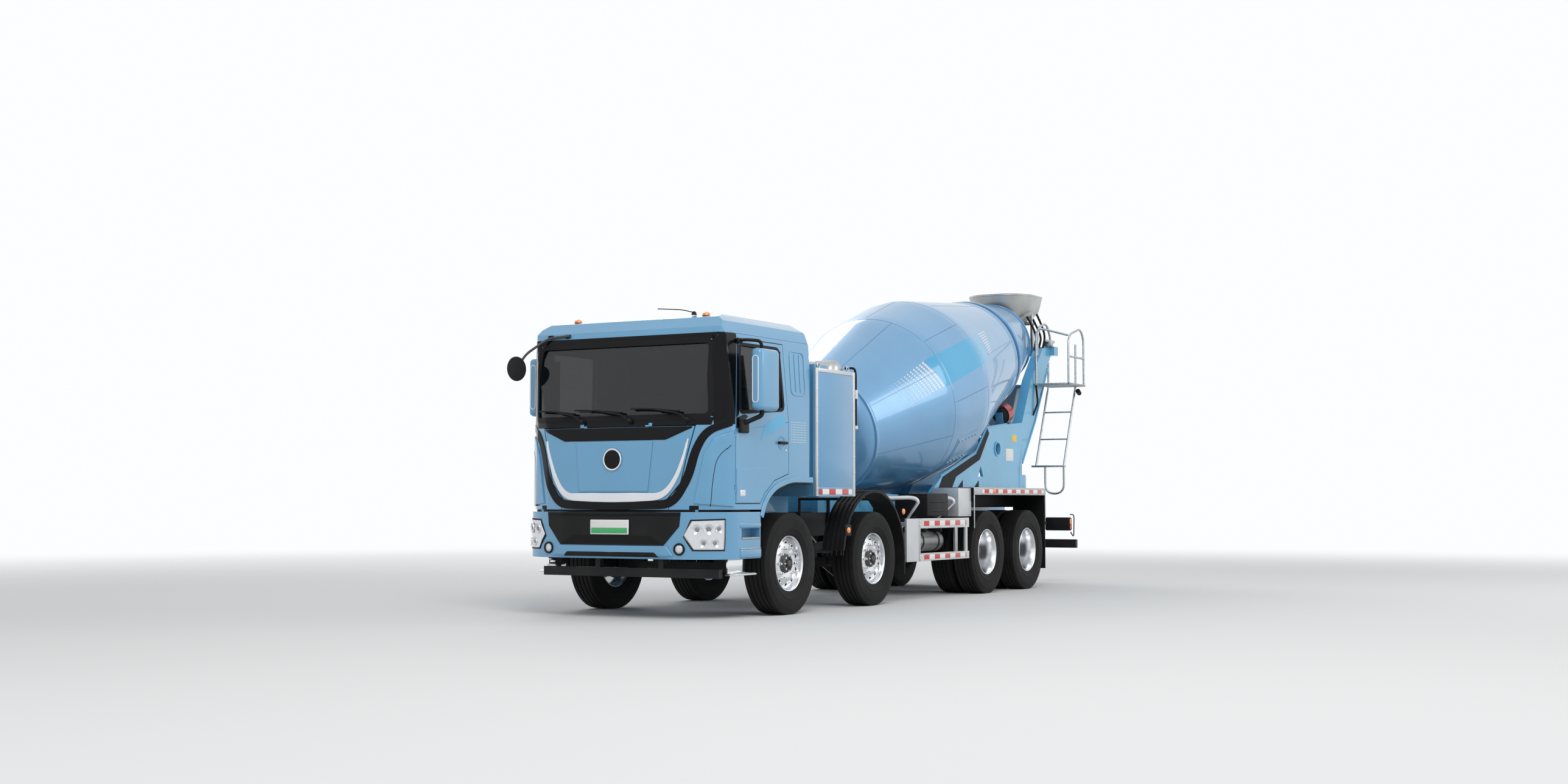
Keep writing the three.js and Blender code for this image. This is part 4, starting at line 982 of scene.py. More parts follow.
@dataclass
class Skin:
    """The outer form of a cab or bumper: a plan outline from nose to side, leant back by a side profile.

    A place on it is (s, z): s runs from the centre line round the corner along the plan, z is the height.
    y is the further back of the plan's and the profile's y. x is the plan's, kept inside the section's
    half width.

    Attributes:
        plan: (x, y) from the nose's middle to the side's end.
        profile: (z, y) of the nose seen from the side.
        section: (z, half width).
    """

    plan: Line
    profile: Line
    section: Line

    def point(self, s: np.ndarray, z: np.ndarray) -> np.ndarray:
        """Return the places of (s, z) pairs; a negative s is on the truck's right.

        Args:
            s: distances round the plan.
            z: heights.

        Returns:
            The places.
        """
        plan = np.asarray(self.plan, float)
        length = np.concatenate([[0], np.cumsum(np.linalg.norm(np.diff(plan, axis=0), axis=1))])
        reach = np.abs(s)
        x = np.interp(reach, length, plan[:, 0])
        y = np.interp(reach, length, plan[:, 1])
        z_profile, y_profile = np.asarray(self.profile, float).T
        z_section, half = np.asarray(self.section, float).T
        y = np.maximum(y, np.interp(z, z_profile, y_profile))
        x = np.minimum(x, np.interp(z, z_section, half)) * np.where(s < 0, -1, 1)
        return np.stack([x, y + AXLE_1_Y, z], -1)

    def at(self, s: float, z: float) -> np.ndarray:
        """Return the place of one (s, z) pair."""
        return self.point(np.array([s]), np.array([z]))[0]

    def reach(self, y: float) -> float:
        """Return the s of a place on the side, given its y behind the first axle."""
        plan = np.asarray(self.plan, float)
        length = np.cumsum(np.linalg.norm(np.diff(plan, axis=0), axis=1))
        return float(length[-2] + y - plan[-2, 1])

    def on_door(self, side: int, line: Line) -> list[Place]:
        """Turn (y, z) points of the cab's side, y behind the first axle, into (s, z) points of one side."""
        return [(side * self.reach(y), z) for y, z in line]

    def panel(self, first: Points, second: Points, out: float,
              along: int = 40, across: int = 10, into: float = 0.004) -> Mesh:
        """Plate between two edges on the skin: each row is a straight line between them in (s, z).

        Args:
            first: one edge, as (s, z) points.
            second: the opposite edge, in the same sense.
            out: how proud the plate stands.
            along: points along the edges.
            across: points between the edges.
            into: how far its back lies inside.

        Returns:
            The mesh.
        """
        a, b = resampled(first, along), resampled(second, along)
        t = np.linspace(0, 1, across)[None, :, None]
        places = a[:, None] * (1 - t) + b[:, None] * t
        surface = self.point(places[..., 0], places[..., 1])
        return shell(surface, out, into, truck(0, -0.4, 1.9))

    def band(self, line: Points, widths: Sequence[float], out: float, bend: float = 0.06,
             count: int = 80, loop: bool = False) -> Mesh:
        """Strip along a line on the skin: the line's (s, z) plus and minus half a width across it.

        Args:
            line: (s, z) points of the middle.
            widths: widths at even distances along it.
            out: how proud it stands.
            bend: radius of its corners.
            count: points along it.
            loop: the line returns to its start.

        Returns:
            The mesh.
        """
        points = np.asarray(line, float)
        if loop:
            points = np.vstack([(points[-1] + points[0]) / 2, points, (points[-1] + points[0]) / 2])
        path = resampled(smooth_path(np.column_stack([points, np.zeros(len(points))]), bend)[:, :2], count)
        if loop:
            path = path[:-1]
            step = np.roll(path, -1, 0) - np.roll(path, 1, 0)
        else:
            step = np.gradient(path, axis=0)
        step /= np.linalg.norm(step, axis=1)[:, None]
        across = np.stack([-step[:, 1], step[:, 0]], -1)
        width = np.interp(np.linspace(0, 1, len(path)), np.linspace(0, 1, len(widths)), widths)
        t = np.linspace(-0.5, 0.5, 5)
        places = path[:, None] + across[:, None] * (width[:, None] * t)[..., None]
        surface = self.point(places[..., 0], places[..., 1])
        return shell(surface, out, 0.004, truck(0, -0.4, 1.9), loop)


CAB_SKIN = Skin(
    plan=[(0, -1.475), (0.5, -1.465), (0.85, -1.42), (1.05, -1.33), (1.18, -1.2), (1.225, -1.105),
          (1.225, 0.485)],
    profile=[(1.095, -1.47), (1.8, -1.45), (1.965, -1.41), (2.85, -1.262), (2.925, -1.24), (3.035, -1.13),
             (3.095, -0.85)],
    section=[(0.9, 1.225), (2.0, 1.225), (2.85, 1.17), (2.985, 1.12), (3.07, 0.98), (3.128, 0.6)],
)

BUMPER_SKIN = Skin(
    plan=[(0, -1.51), (0.6, -1.5), (0.9, -1.45), (1.08, -1.362), (1.19, -1.235), (1.235, -1.12),
          (1.235, -0.618)],
    profile=[(0.605, -1.48), (0.675, -1.515), (1.04, -1.515), (1.072, -1.49)],
    section=[(0.4, 1.235), (1.2, 1.235)],
)


def on_side(side: int, line: Line) -> list[Place]:
    """Return a line of (s, z) points on the left, or its reflection on the right."""
    return [(side * s, z) for s, z in line]


def two_sided(line: Line) -> list[Place]:
    """Join a half line, given from its outer end to the centre line, to its reflection in s."""
    half = list(line)
    return [(-s, z) for s, z in half] + [(s, z) for s, z in half[::-1] if s > 0]


@dataclass
class Cab:
    """Tilting cab: painted shell, black screen surround, bands, doors, mirrors, wipers and interior.

    The door's and side's lines are (y, z), y behind the first axle. The others are (s, z) on the skin.
    """

    seat_x: float = 0.56
    door_front: float = -1.105
    silver_line: Line = ((0.868, 1.8), (0.838, 1.66), (0.748, 1.41), (0.6, 1.224),
                                    (0.0, 1.214))
    silver_widths: Sequence[float] = (0.014, 0.035, 0.05, 0.075, 0.09, 0.09, 0.09, 0.075, 0.05, 0.035,
                                      0.014)
    badge: Point = (0, -1.473, 1.6)
    band_line: Line = ((1.318, 1.965), (1.06, 1.885), (0.945, 1.7), (0.865, 1.4), (0.7, 1.15),
                                  (0.0, 1.127))
    band_widths: Sequence[float] = (0.07, 0.082, 0.09, 0.09, 0.085, 0.075, 0.075, 0.085, 0.09, 0.09, 0.082,
                                    0.07)
    deflector_inner: Line = ((0.925, 1.155), (0.975, 1.4), (1.03, 1.66), (1.12, 1.8))
    deflector_outer: Line = ((1.335, 1.125), (1.335, 1.4), (1.335, 1.66), (1.335, 1.885))
    deflector_slit: Line = ((1.09, 1.13), (1.115, 1.42), (1.155, 1.62), (1.3, 1.735))
    window: Line = ((-1.015, 2.068), (-0.125, 2.13), (-0.165, 2.762), (-0.95, 2.762))
    quarter: Line = ((0.06, 2.3), (0.36, 2.3), (0.36, 2.76), (0.06, 2.76))
    arch: Line = ((-0.6, 1.02), (-0.52, 1.19), (-0.33, 1.325), (0.0, 1.405), (0.475, 1.405))
    liner: Line = ((0.475, 1.37), (0.0, 1.37), (-0.33, 1.285), (-0.52, 1.175), (-0.6, 1.09),
                              (-0.6, 0.95), (-0.585, 0.95), (-0.585, 1.08), (-0.505, 1.162),
                              (-0.325, 1.268), (0.0, 1.352), (0.475, 1.352))
    wiper_spans: Line = ((0.86, 0.18), (0.17, -0.52), (-0.42, -1.0))

    def body(self) -> None:
        """Painted shell, doors and flap take the frame's own shape."""
        for node in ("cab_shell", "door_left", "door_right", "front_flap"):
            finished(node, Paint.CAB, 0.006)
        for node in ("windscreen", "door_glass_left", "door_glass_right"):
            finished(node, Paint.GLASS, 0.001)

    def screen_surround(self) -> None:
        """Black frit round the windscreen, the corner pillars and the cowl under the screen."""
        skin = CAB_SKIN
        s_in, s_out, door = 1.13, 1.115, skin.reach(self.door_front) - 0.005
        head = skin.panel([(-s_out, 2.795), (s_out, 2.795)], [(-s_out, 2.862), (s_out, 2.862)], 0.004, 60,
                          5)
        foot = skin.panel([(-s_in, 2.012), (s_in, 2.012)], two_sided([(1.1, 1.936), (0.0, 1.929)]), 0.004,
                          60, 6)
        parts = [head, foot]
        for side in (1, -1):
            inner = [(side * 1.125, 1.945), (side * 1.112, 2.05), (side * 1.08, 2.78),
                     (side * 1.075, 2.862)]
            outer = [(side * door, 1.945), (side * door, 2.0), (side * (door + 0.1), 2.822),
                     (side * (door + 0.1), 2.862)]
            parts.append(skin.panel(inner, outer, 0.004, 40, 16))
        make("screen_surround", joined(parts), "cab", Paint.GLOSS_BLACK, 0.0015)
        seal = skin.band([(1.1, 2.018), (1.072, 2.785), (-1.072, 2.785), (-1.1, 2.018)], [0.058], 0.007,
                         0.09, 200, True)
        make("screen_seal", seal, "cab", Paint.SEAL, 0.002)

    def flap_trim(self) -> None:
        """Black head, raised middle, silver edge and plain round badge of the front flap."""
        skin = CAB_SKIN
        black = skin.panel([(-0.912, 1.922), (0.912, 1.922)],
                           [(-0.905, 1.905), (-0.62, 1.79), (0.62, 1.79), (0.905, 1.905)], 0.005, 90, 8)
        make("flap_head", black, "flap", Paint.GLOSS_BLACK, 0.002)
        middle = skin.panel([(-0.47, 1.785), (0.47, 1.785)], [(-0.42, 1.272), (0.42, 1.272)], 0.014, 40, 20)
        make("flap_middle", middle, "flap", Paint.CAB, 0.011)
        silver = skin.band(two_sided(self.silver_line), self.silver_widths, 0.017, 0.12, 140)
        make("flap_silver_edge", silver, "flap", Paint.SILVER, 0.007)
        centre = truck(*self.badge)
        badge = revolved([(0.0, 0.0), (0.0, 0.112), (0.016, 0.112), (0.02, 0.106), (0.016, 0.098),
                          (0.016, 0.0)], centre, (0, -1, 0), 64)
        make("round_badge", badge, "flap", Paint.CHROME, 0.001)
        face = revolved([(0.012, 0.0), (0.012, 0.098), (0.018, 0.096), (0.0205, 0.0)], centre, (0, -1, 0),
                        64)
        make("badge_face", face, "flap", Paint.GLOSS_BLACK)

    def front_bands(self) -> None:
        """Black band outside the flap, up to the corner pillars, and the raised corner deflectors."""
        skin = CAB_SKIN
        band = skin.band(two_sided(self.band_line), self.band_widths, 0.009, 0.13, 200)
        make("front_black_band", band, "cab", Paint.GLOSS_BLACK, 0.003)
        for name, side in SIDES:
            inner, outer, slit_line = (on_side(side, line) for line in (
                self.deflector_inner, self.deflector_outer, self.deflector_slit))
            make(f"corner_deflector_{name}", skin.panel(inner, outer, 0.016, 50, 24), "cab", Paint.CAB,
                 0.012)
            slit = skin.band(slit_line, [0.006], 0.0175, 0.12, 60)
            make(f"deflector_joint_{name}", slit, "cab", Paint.SEAL)

    def door_trim(self, name: str, side: int) -> None:
        """Window rubber, black corner of the band, handle in its recess and the small lamp of one door.

        Args:
            name: left or right.
            side: 1 on the left, -1 on the right.
        """
        skin = CAB_SKIN
        body = f"{name}_door"
        rubber = skin.band(skin.on_door(side, self.window), [0.036], 0.006, 0.06, 140, True)
        make(f"window_rubber_{name}", rubber, body, Paint.SEAL, 0.002)
        wedge = skin.panel(skin.on_door(side, [(-1.09, 1.9), (-0.86, 2.035)]),
                           skin.on_door(side, [(-1.09, 2.01), (-0.93, 2.05)]), 0.006, 16, 6)
        make(f"door_band_{name}", wedge, body, Paint.GLOSS_BLACK, 0.002)
        front = skin.panel(skin.on_door(side, [(-1.09, 2.015), (-0.995, 2.8)]),
                           skin.on_door(side, [(-1.035, 2.04), (-0.965, 2.8)]), 0.005, 30, 5)
        make(f"door_pillar_{name}", front, body, Paint.GLOSS_BLACK, 0.002)
        out = (side, 0, 0)
        recess = revolved([(0.0, 0.0), (0.001, 0.055), (0.004, 0.058), (0.006, 0.066), (0.0, 0.068)],
                          truck(side * 1.225, -0.19, 1.785), out, 40)
        make(f"handle_recess_{name}", recess, body, Paint.CAB)
        bar = rounded_box(truck(side * 1.238, -0.262, 1.769), truck(side * 1.262, -0.098, 1.799), 0.011, 4)
        feet = [rounded_box(truck(side * 1.222, y - 0.02, 1.771), truck(side * 1.245, y + 0.02, 1.797),
                            0.006) for y in (-0.24, -0.12)]
        make(f"door_handle_{name}", joined([bar, *feet]), body, Paint.PLASTIC)
        lock = revolved([(0.0, 0.0), (0.0, 0.014), (0.008, 0.012), (0.008, 0.0)],
                        truck(side * 1.224, -0.1, 1.71), out, 20)
        make(f"door_lock_{name}", lock, body, Paint.CHROME)
        lamp = rounded_box(truck(side * 1.215, -1.02, 1.225), truck(side * 1.236, -0.92, 1.295), 0.01)
        make(f"side_marker_{name}", lamp, body, Paint.CLEAR)
        crease = skin.panel(skin.on_door(side, [(-1.085, 1.165), (-0.63, 1.165)]),
                            skin.on_door(side, [(-1.085, 1.505), (-0.36, 1.545)]), 0.006, 30, 12)
        make(f"door_lower_panel_{name}", crease, body, Paint.CAB, 0.005)
        film = skin.panel(skin.on_door(side, [(-0.62, 1.8), (-0.1, 1.99)]),
                          skin.on_door(side, [(-0.52, 1.97), (-0.14, 2.085)]), 0.0012, 20, 4, 0.001)
        make(f"door_film_{name}", film, body, Paint.CYAN)

    def cab_side(self, name: str, side: int) -> None:
        """Pressed rear-quarter panel with its ribs, the wheel arch lip and the black inner arch.

        Args:
            name: left or right.
            side: 1 on the left, -1 on the right.
        """
        skin = CAB_SKIN
        ring = skin.band(skin.on_door(side, self.quarter), [0.02], 0.007, 0.07, 90, True)
        ribs = [skin.band(skin.on_door(side, [(y, 2.33), (y, 2.73)]), [0.018], 0.007, 0.01,
                          12) for y in (0.16, 0.26)]
        make(f"quarter_pressing_{name}", joined([ring, *ribs]), "cab", Paint.CAB, 0.003)
        lip = skin.band(skin.on_door(side, self.arch), [0.06], 0.014, 0.12, 70)
        make(f"arch_lip_{name}", lip, "cab", Paint.CAB, 0.006)
        places = [(truck(0, y, z)[1], z) for y, z in self.liner]
        liner = slab(places, "X", *sorted((side * 0.8, side * 1.215)))
        make(f"arch_liner_{name}", liner, "cab", Paint.PLASTIC, 0.003)
        dots = [revolved([(0.0, 0.0), (0.0, 0.006), (0.0012, 0.006), (0.0012, 0.0)],
                         truck(side * 1.2248, 0.03 + 0.03 * i, 1.8 + 0.026 * j), (side, 0, 0), 6)
                for i in range(11) for j in range(9)]
        make(f"quarter_dots_{name}", joined(dots), "cab", Paint.WHITE)

    def mirror(self, name: str, side: int) -> None:
        """One main mirror: painted housing, glass, black arms and feet.

        Args:
            name: left or right.
            side: 1 on the left, -1 on the right.
        """
        body = f"{name}_door"
        low, high = truck(side * 1.318, -0.99, 2.088), truck(side * 1.452, -0.6, 2.712)
        housing = rounded_box(low, high, 0.045, 6)
        cover = make(f"mirror_housing_{name}", housing, body, Paint.CAB, smooth=50)
        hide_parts(f"mirror_{name}")
        line = rounded_rectangle(0.032, 0.235, 0.03, 5)
        path = np.stack([side * 1.385 + line[:, 0], np.full(len(line), -0.99), 2.4 + line[:, 1]], -1)
        ring = sweep(circle(0.006, 8), path + [0, AXLE_1_Y, 0], (0, 1, 0), closed=True)
        make(f"mirror_pressing_{name}", ring, body, Paint.SILVER)
        back = rounded_box(truck(side * 1.325, -0.607, 2.1), truck(side * 1.445, -0.588, 2.7), 0.008)
        make(f"mirror_rim_{name}", back, body, Paint.PLASTIC)
        glass = rounded_box(truck(side * 1.335, -0.592, 2.12), truck(side * 1.436, -0.585, 2.68), 0.003)
        make(f"mirror_glass_{name}", glass, body, Paint.MIRROR)
        upper = tube([truck(side * 1.172, -0.978, 2.795), truck(side * 1.26, -0.96, 2.8),
                      truck(side * 1.385, -0.87, 2.79), truck(side * 1.385, -0.86, 2.69)], 0.017, 0.06)
        lower = tube([truck(side * 1.226, -0.985, 1.945), truck(side * 1.3, -0.95, 1.985),
                      truck(side * 1.385, -0.85, 2.04), truck(side * 1.385, -0.85, 2.12)], 0.024, 0.07)
        foot = rounded_box(truck(side * 1.226, -1.06, 1.86), truck(side * 1.262, -0.89, 2.0), 0.016, 4)
        top_foot = rounded_box(truck(side * 1.176, -1.02, 2.765), truck(side * 1.206, -0.93, 2.815), 0.012,
                               4)
        make(f"mirror_arms_{name}", joined([upper, lower, foot, top_foot]), body, Paint.PLASTIC, smooth=50)

    def near_mirror(self) -> None:
        """Round mirror on the right front corner, on a bent grey rod."""
        centre = truck(-1.222, -1.496, 2.561)
        bowl = revolved([(-0.002, 0.0), (-0.002, 0.118), (0.004, 0.129), (0.012, 0.128), (0.026, 0.09),
                         (0.034, 0.0)], centre, (0.06, 1, 0.1), 48)
        piece = make("near_mirror_bowl", bowl, "cab", Paint.PLASTIC, smooth=50)
        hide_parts("front_mirror")
        arm = tube([truck(-1.222, -1.47, 2.565), truck(-1.16, -1.43, 2.71), truck(-0.97, -1.275, 2.885),
                    truck(-0.7, -1.272, 2.9)], 0.013, 0.08)
        make("near_mirror_arm", arm, "cab", Paint.HUB, slot="galvanised")
        clamp = [rounded_box(truck(x - 0.03, -1.275, 2.875), truck(x + 0.03, -1.238, 2.915),
                             0.01) for x in (-0.95, -0.73)]
        make("near_mirror_clamps", joined(clamp), "cab", Paint.PLASTIC)

    def wipers(self) -> None:
        """Three wipers parked on the foot of the screen."""
        skin = CAB_SKIN
        for number, (pivot, tip) in enumerate(self.wiper_spans, 1):
            base = skin.at(pivot, 1.985)
            blade = np.linspace(pivot - 0.1, tip, 24)
            rise = 2.075 + 0.035 * np.sin(np.linspace(0, np.pi / 2, 24))
            line = skin.point(blade, rise) - [0, 0.028, 0]
            elbow = skin.at(pivot - 0.08, 2.05) - [0, 0.05, 0]
            middle = skin.at((pivot + tip) / 2 - 0.05, 2.1) - [0, 0.045, 0]
            arm = tube([base - [0, 0.03, 0], elbow, middle], 0.011, 0.04)
            hub = revolved([(0.0, 0.0), (0.0, 0.032), (0.035, 0.026), (0.05, 0.012), (0.052, 0.0)], base,
                           (0, -1, 0.2), 24)
            wiper = sweep(rounded_rectangle(0.007, 0.014, 0.005), line, (0, -1, 0))
            make(f"wiper_{number}", joined([arm, hub, wiper]), "cab", Paint.PLASTIC, smooth=50)

    def roof(self) -> None:
        """Marker lamps, aerial and the seam over the doors."""
        skin = CAB_SKIN
        for name, side in SIDES:
            lamp = revolved([(0.0, 0.0), (0.0, 0.045), (0.022, 0.038), (0.034, 0.022), (0.038, 0.0)],
                            truck(side * 0.8, -0.98, 3.066), (0, 0, 1), 24)
            make(f"roof_marker_{name}", lamp, "cab", Paint.AMBER)
        aerial = joined([revolved([(0.0, 0.0), (0.0, 0.03), (0.03, 0.02), (0.04, 0.0)],
                                  truck(0.62, -0.93, 3.085), (0, 0, 1), 20),
                         tube([truck(0.62, -0.93, 3.11), truck(0.52, -1.02, 3.135),
                               truck(0.3, -1.12, 3.145)], 0.005, 0.03, 8)])
        make("roof_aerial", aerial, "cab", Paint.PLASTIC)
        for name, side in SIDES:
            gutter = skin.band([(side * skin.reach(self.door_front), 2.872),
                                (side * skin.reach(0.47), 2.872)], [0.014], 0.006, 0.02, 30)
            make(f"roof_gutter_{name}", gutter, "cab", Paint.CAB, 0.002)

    def interior(self) -> None:
        """Dark trim in the frame's shape, cloth seats, a rear lining and a header shelf."""
        finished("cab_interior", Paint.TRIM, 0.012)
        for name, side in SIDES:
            x = side * self.seat_x
            pads = [rounded_box(truck(x - 0.25, -0.38, 1.7), truck(x + 0.25, 0.13, 1.8), 0.045, 5),
                    rounded_box(truck(x - 0.24, 0.055, 1.82), truck(x + 0.24, 0.175, 2.36), 0.045, 5),
                    rounded_box(truck(x - 0.15, 0.12, 2.38), truck(x + 0.15, 0.22, 2.58), 0.04, 5)]
            seat = make(f"seat_cloth_{name}", joined(pads), "cab", Paint.CLOTH, smooth=60)
        curtain = rounded_box(truck(-1.1, 0.395, 1.6), truck(1.1, 0.425, 2.78), 0.01)
        make("rear_lining", curtain, "cab", Paint.TRIM)
        header = rounded_box(truck(-1.0, -1.19, 2.72), truck(1.0, -0.95, 2.82), 0.03)
        make("header_shelf", header, "cab", Paint.TRIM)

    def build(self) -> None:
        """Build the cab."""
        self.body()
        self.screen_surround()
        self.flap_trim()
        self.front_bands()
        for name, side in SIDES:
            self.door_trim(name, side)
            self.cab_side(name, side)
            self.mirror(name, side)
        self.near_mirror()
        self.wipers()
        self.roof()
        self.interior()


@dataclass
class RunningGear:
    """Tyres with ribs and grooves, polished wheels, hubs, nuts and the axle parts behind them."""

    axles: Sequence[float] = (0.0, 1.93, 5.15, 6.5)
    tyre_radius: float = 0.531
    single_x: float = 1.0975
    twin_x: float = 0.945
    twin_half: float = 0.16
    nut_circle: float = 0.1675
    hole_circle: float = 0.213

    def tyre_section(self, half: float, middle: float = 0.0) -> list[Place]:
        """Closed outline of one tyre: bead, bulged wall with two ribs, shoulder and grooved tread.

        Args:
            half: half the width of the tyre.
            middle: its middle along the axle.

        Returns:
            The (s, r) points.
        """
        r = self.tyre_radius
        wall = [(0.76, 0.291), (0.86, 0.305), (0.93, 0.345), (0.972, 0.36), (0.985, 0.366), (0.972, 0.372),
                (0.995, 0.4), (1.0, 0.43), (0.985, 0.462), (0.985, 0.472), (0.965, 0.474), (0.93, 0.5),
                (0.9, 0.512), (0.885, 0.524), (0.85, r - 0.001)]
        grooves = [0.52, 0.18, -0.18, -0.52]
        tread = []
        for g in grooves:
            w = 0.042
            tread += [(g + w, r), (g + w * 0.7, r - 0.014), (g - w * 0.7, r - 0.014), (g - w, r)]
        outline = wall + tread + [(-s, q) for s, q in wall[::-1]]
        return [(middle + s * half, q) for s, q in outline]

    def tyre(self, name: str, centre: np.ndarray, axis: Point, steered: bool) -> None:
        """Single or twin tyres.

        Args:
            name: axle number and side.
            centre: the wheel's middle.
            axis: outwards along the axle.
            steered: a single wheel, not twins.
        """
        if steered:
            sections = [self.tyre_section(0.1475)]
        else:
            sections = [self.tyre_section(0.14, m) for m in (-self.twin_half, self.twin_half)]
        rings = [revolved(section, centre, axis, 112, ring=True) for section in sections]
        make(f"tyre_tread_{name}", joined(rings), f"road_wheel_{name}", Paint.RUBBER,
             smooth=28, replaces=[f"tyre_{name}"])

    def wheel(self, name: str, centre: np.ndarray, axis: Point, steered: bool) -> None:
        """Forged wheel: convex disc in front, deep dish behind, ten nuts, and ten openings drawn as black
        discs of painted shade.

        Args:
            name: axle number and side.
            centre: the wheel's middle.
            axis: outwards along the axle.
            steered: a single wheel, not twins.
        """
        if steered:
            face, nut_s = 0.07, 0.079
            profile = [(0.03, 0.0), (0.06, 0.06), (0.07, 0.1), (0.079, 0.125), (0.081, 0.165),
                       (0.078, 0.19), (0.07, 0.213), (0.06, 0.236), (0.03, 0.252), (0.022, 0.259),
                       (0.034, 0.266), (0.095, 0.272), (0.108, 0.276), (0.117, 0.283), (0.119, 0.287),
                       (0.116, 0.291), (-0.116, 0.291), (-0.118, 0.284), (-0.1, 0.272), (-0.03, 0.262),
                       (-0.03, 0.0)]
            hub = [(0.03, 0.098), (0.09, 0.096), (0.104, 0.09), (0.106, 0.066), (0.088, 0.06),
                   (0.086, 0.036), (0.118, 0.034), (0.124, 0.026), (0.126, 0.0)]
        else:
            face, nut_s = 0.017, 0.018
            profile = [(0.006, 0.0), (0.016, 0.11), (0.018, 0.165), (0.018, 0.213), (0.022, 0.232),
                       (0.05, 0.246), (0.095, 0.251), (0.125, 0.256), (0.215, 0.26), (0.232, 0.268),
                       (0.262, 0.2725), (0.273, 0.279), (0.2775, 0.286), (0.275, 0.291), (-0.275, 0.291),
                       (-0.278, 0.284), (-0.25, 0.27), (-0.02, 0.258), (-0.02, 0.0)]
            hub = [(0.0, 0.112), (0.03, 0.108), (0.045, 0.096), (0.12, 0.088), (0.128, 0.08),
                   (0.13, 0.05), (0.146, 0.046), (0.15, 0.0)]
        body = f"road_wheel_{name}"
        axis = np.asarray(axis, float)
        make(f"rim_{name}", revolved(profile, centre, axis, 80), body, Paint.ALLOY, smooth=30,
             replaces=[f"wheel_{name}"])
        make(f"hub_{name}", revolved(hub, centre, axis, 40), body, Paint.HUB, slot="alloy", smooth=30)
        nuts, rings, hole_shades = [], [], []
        for place in bolt_circle(centre + axis * nut_s, "X", self.nut_circle, 10):
            nuts.append(hexagon_nut(place, axis, 0.0185, 0.026))
            nuts.append(revolved([(0.02, 0.013), (0.042, 0.0125), (0.046, 0.009), (0.046, 0.0)], place,
                                 axis, 10))
        for place in bolt_circle(centre + axis * face, "X", self.hole_circle, 10, math.pi / 10):
            rings.append(revolved([(-0.004, 0.0275), (0.0022, 0.0275), (0.0035, 0.0245), (0.0025, 0.0215),
                                   (-0.004, 0.0215)], place, axis, 20, ring=True))
            hole_shades.append(revolved([(-0.006, 0.022), (0.0016, 0.022), (0.0016, 0.0)], place, axis, 20))
        bolts = [hexagon_nut(place, axis, 0.01, 0.012)
                 for place in bolt_circle(centre + axis * (0.104 if steered else 0.03), "X",
                                          0.078 if steered else 0.1, 8)]
        make(f"wheel_nuts_{name}", joined(nuts + rings + bolts), body, Paint.CHROME, smooth=30)
        # Black discs in the wheel's ten openings: painted shade seen through them.
        make(f"wheel_hole_shade_{name}", joined(hole_shades), body, Paint.SEAL)

    def build(self) -> None:
        """Build all eight wheels."""
        for number, y in enumerate(self.axles, 1):
            steered = number < 3
            for side_name, side in SIDES:
                centre = truck(side * (self.single_x if steered else self.twin_x), y, self.tyre_radius)
                name = f"{number}_{side_name}"
                self.tyre(name, centre, (side, 0, 0), steered)
                self.wheel(name, centre, (side, 0, 0), steered)
        for number in (1, 2, 3, 4):
            finished(f"axle_{number}", Paint.CHASSIS, 0.006)


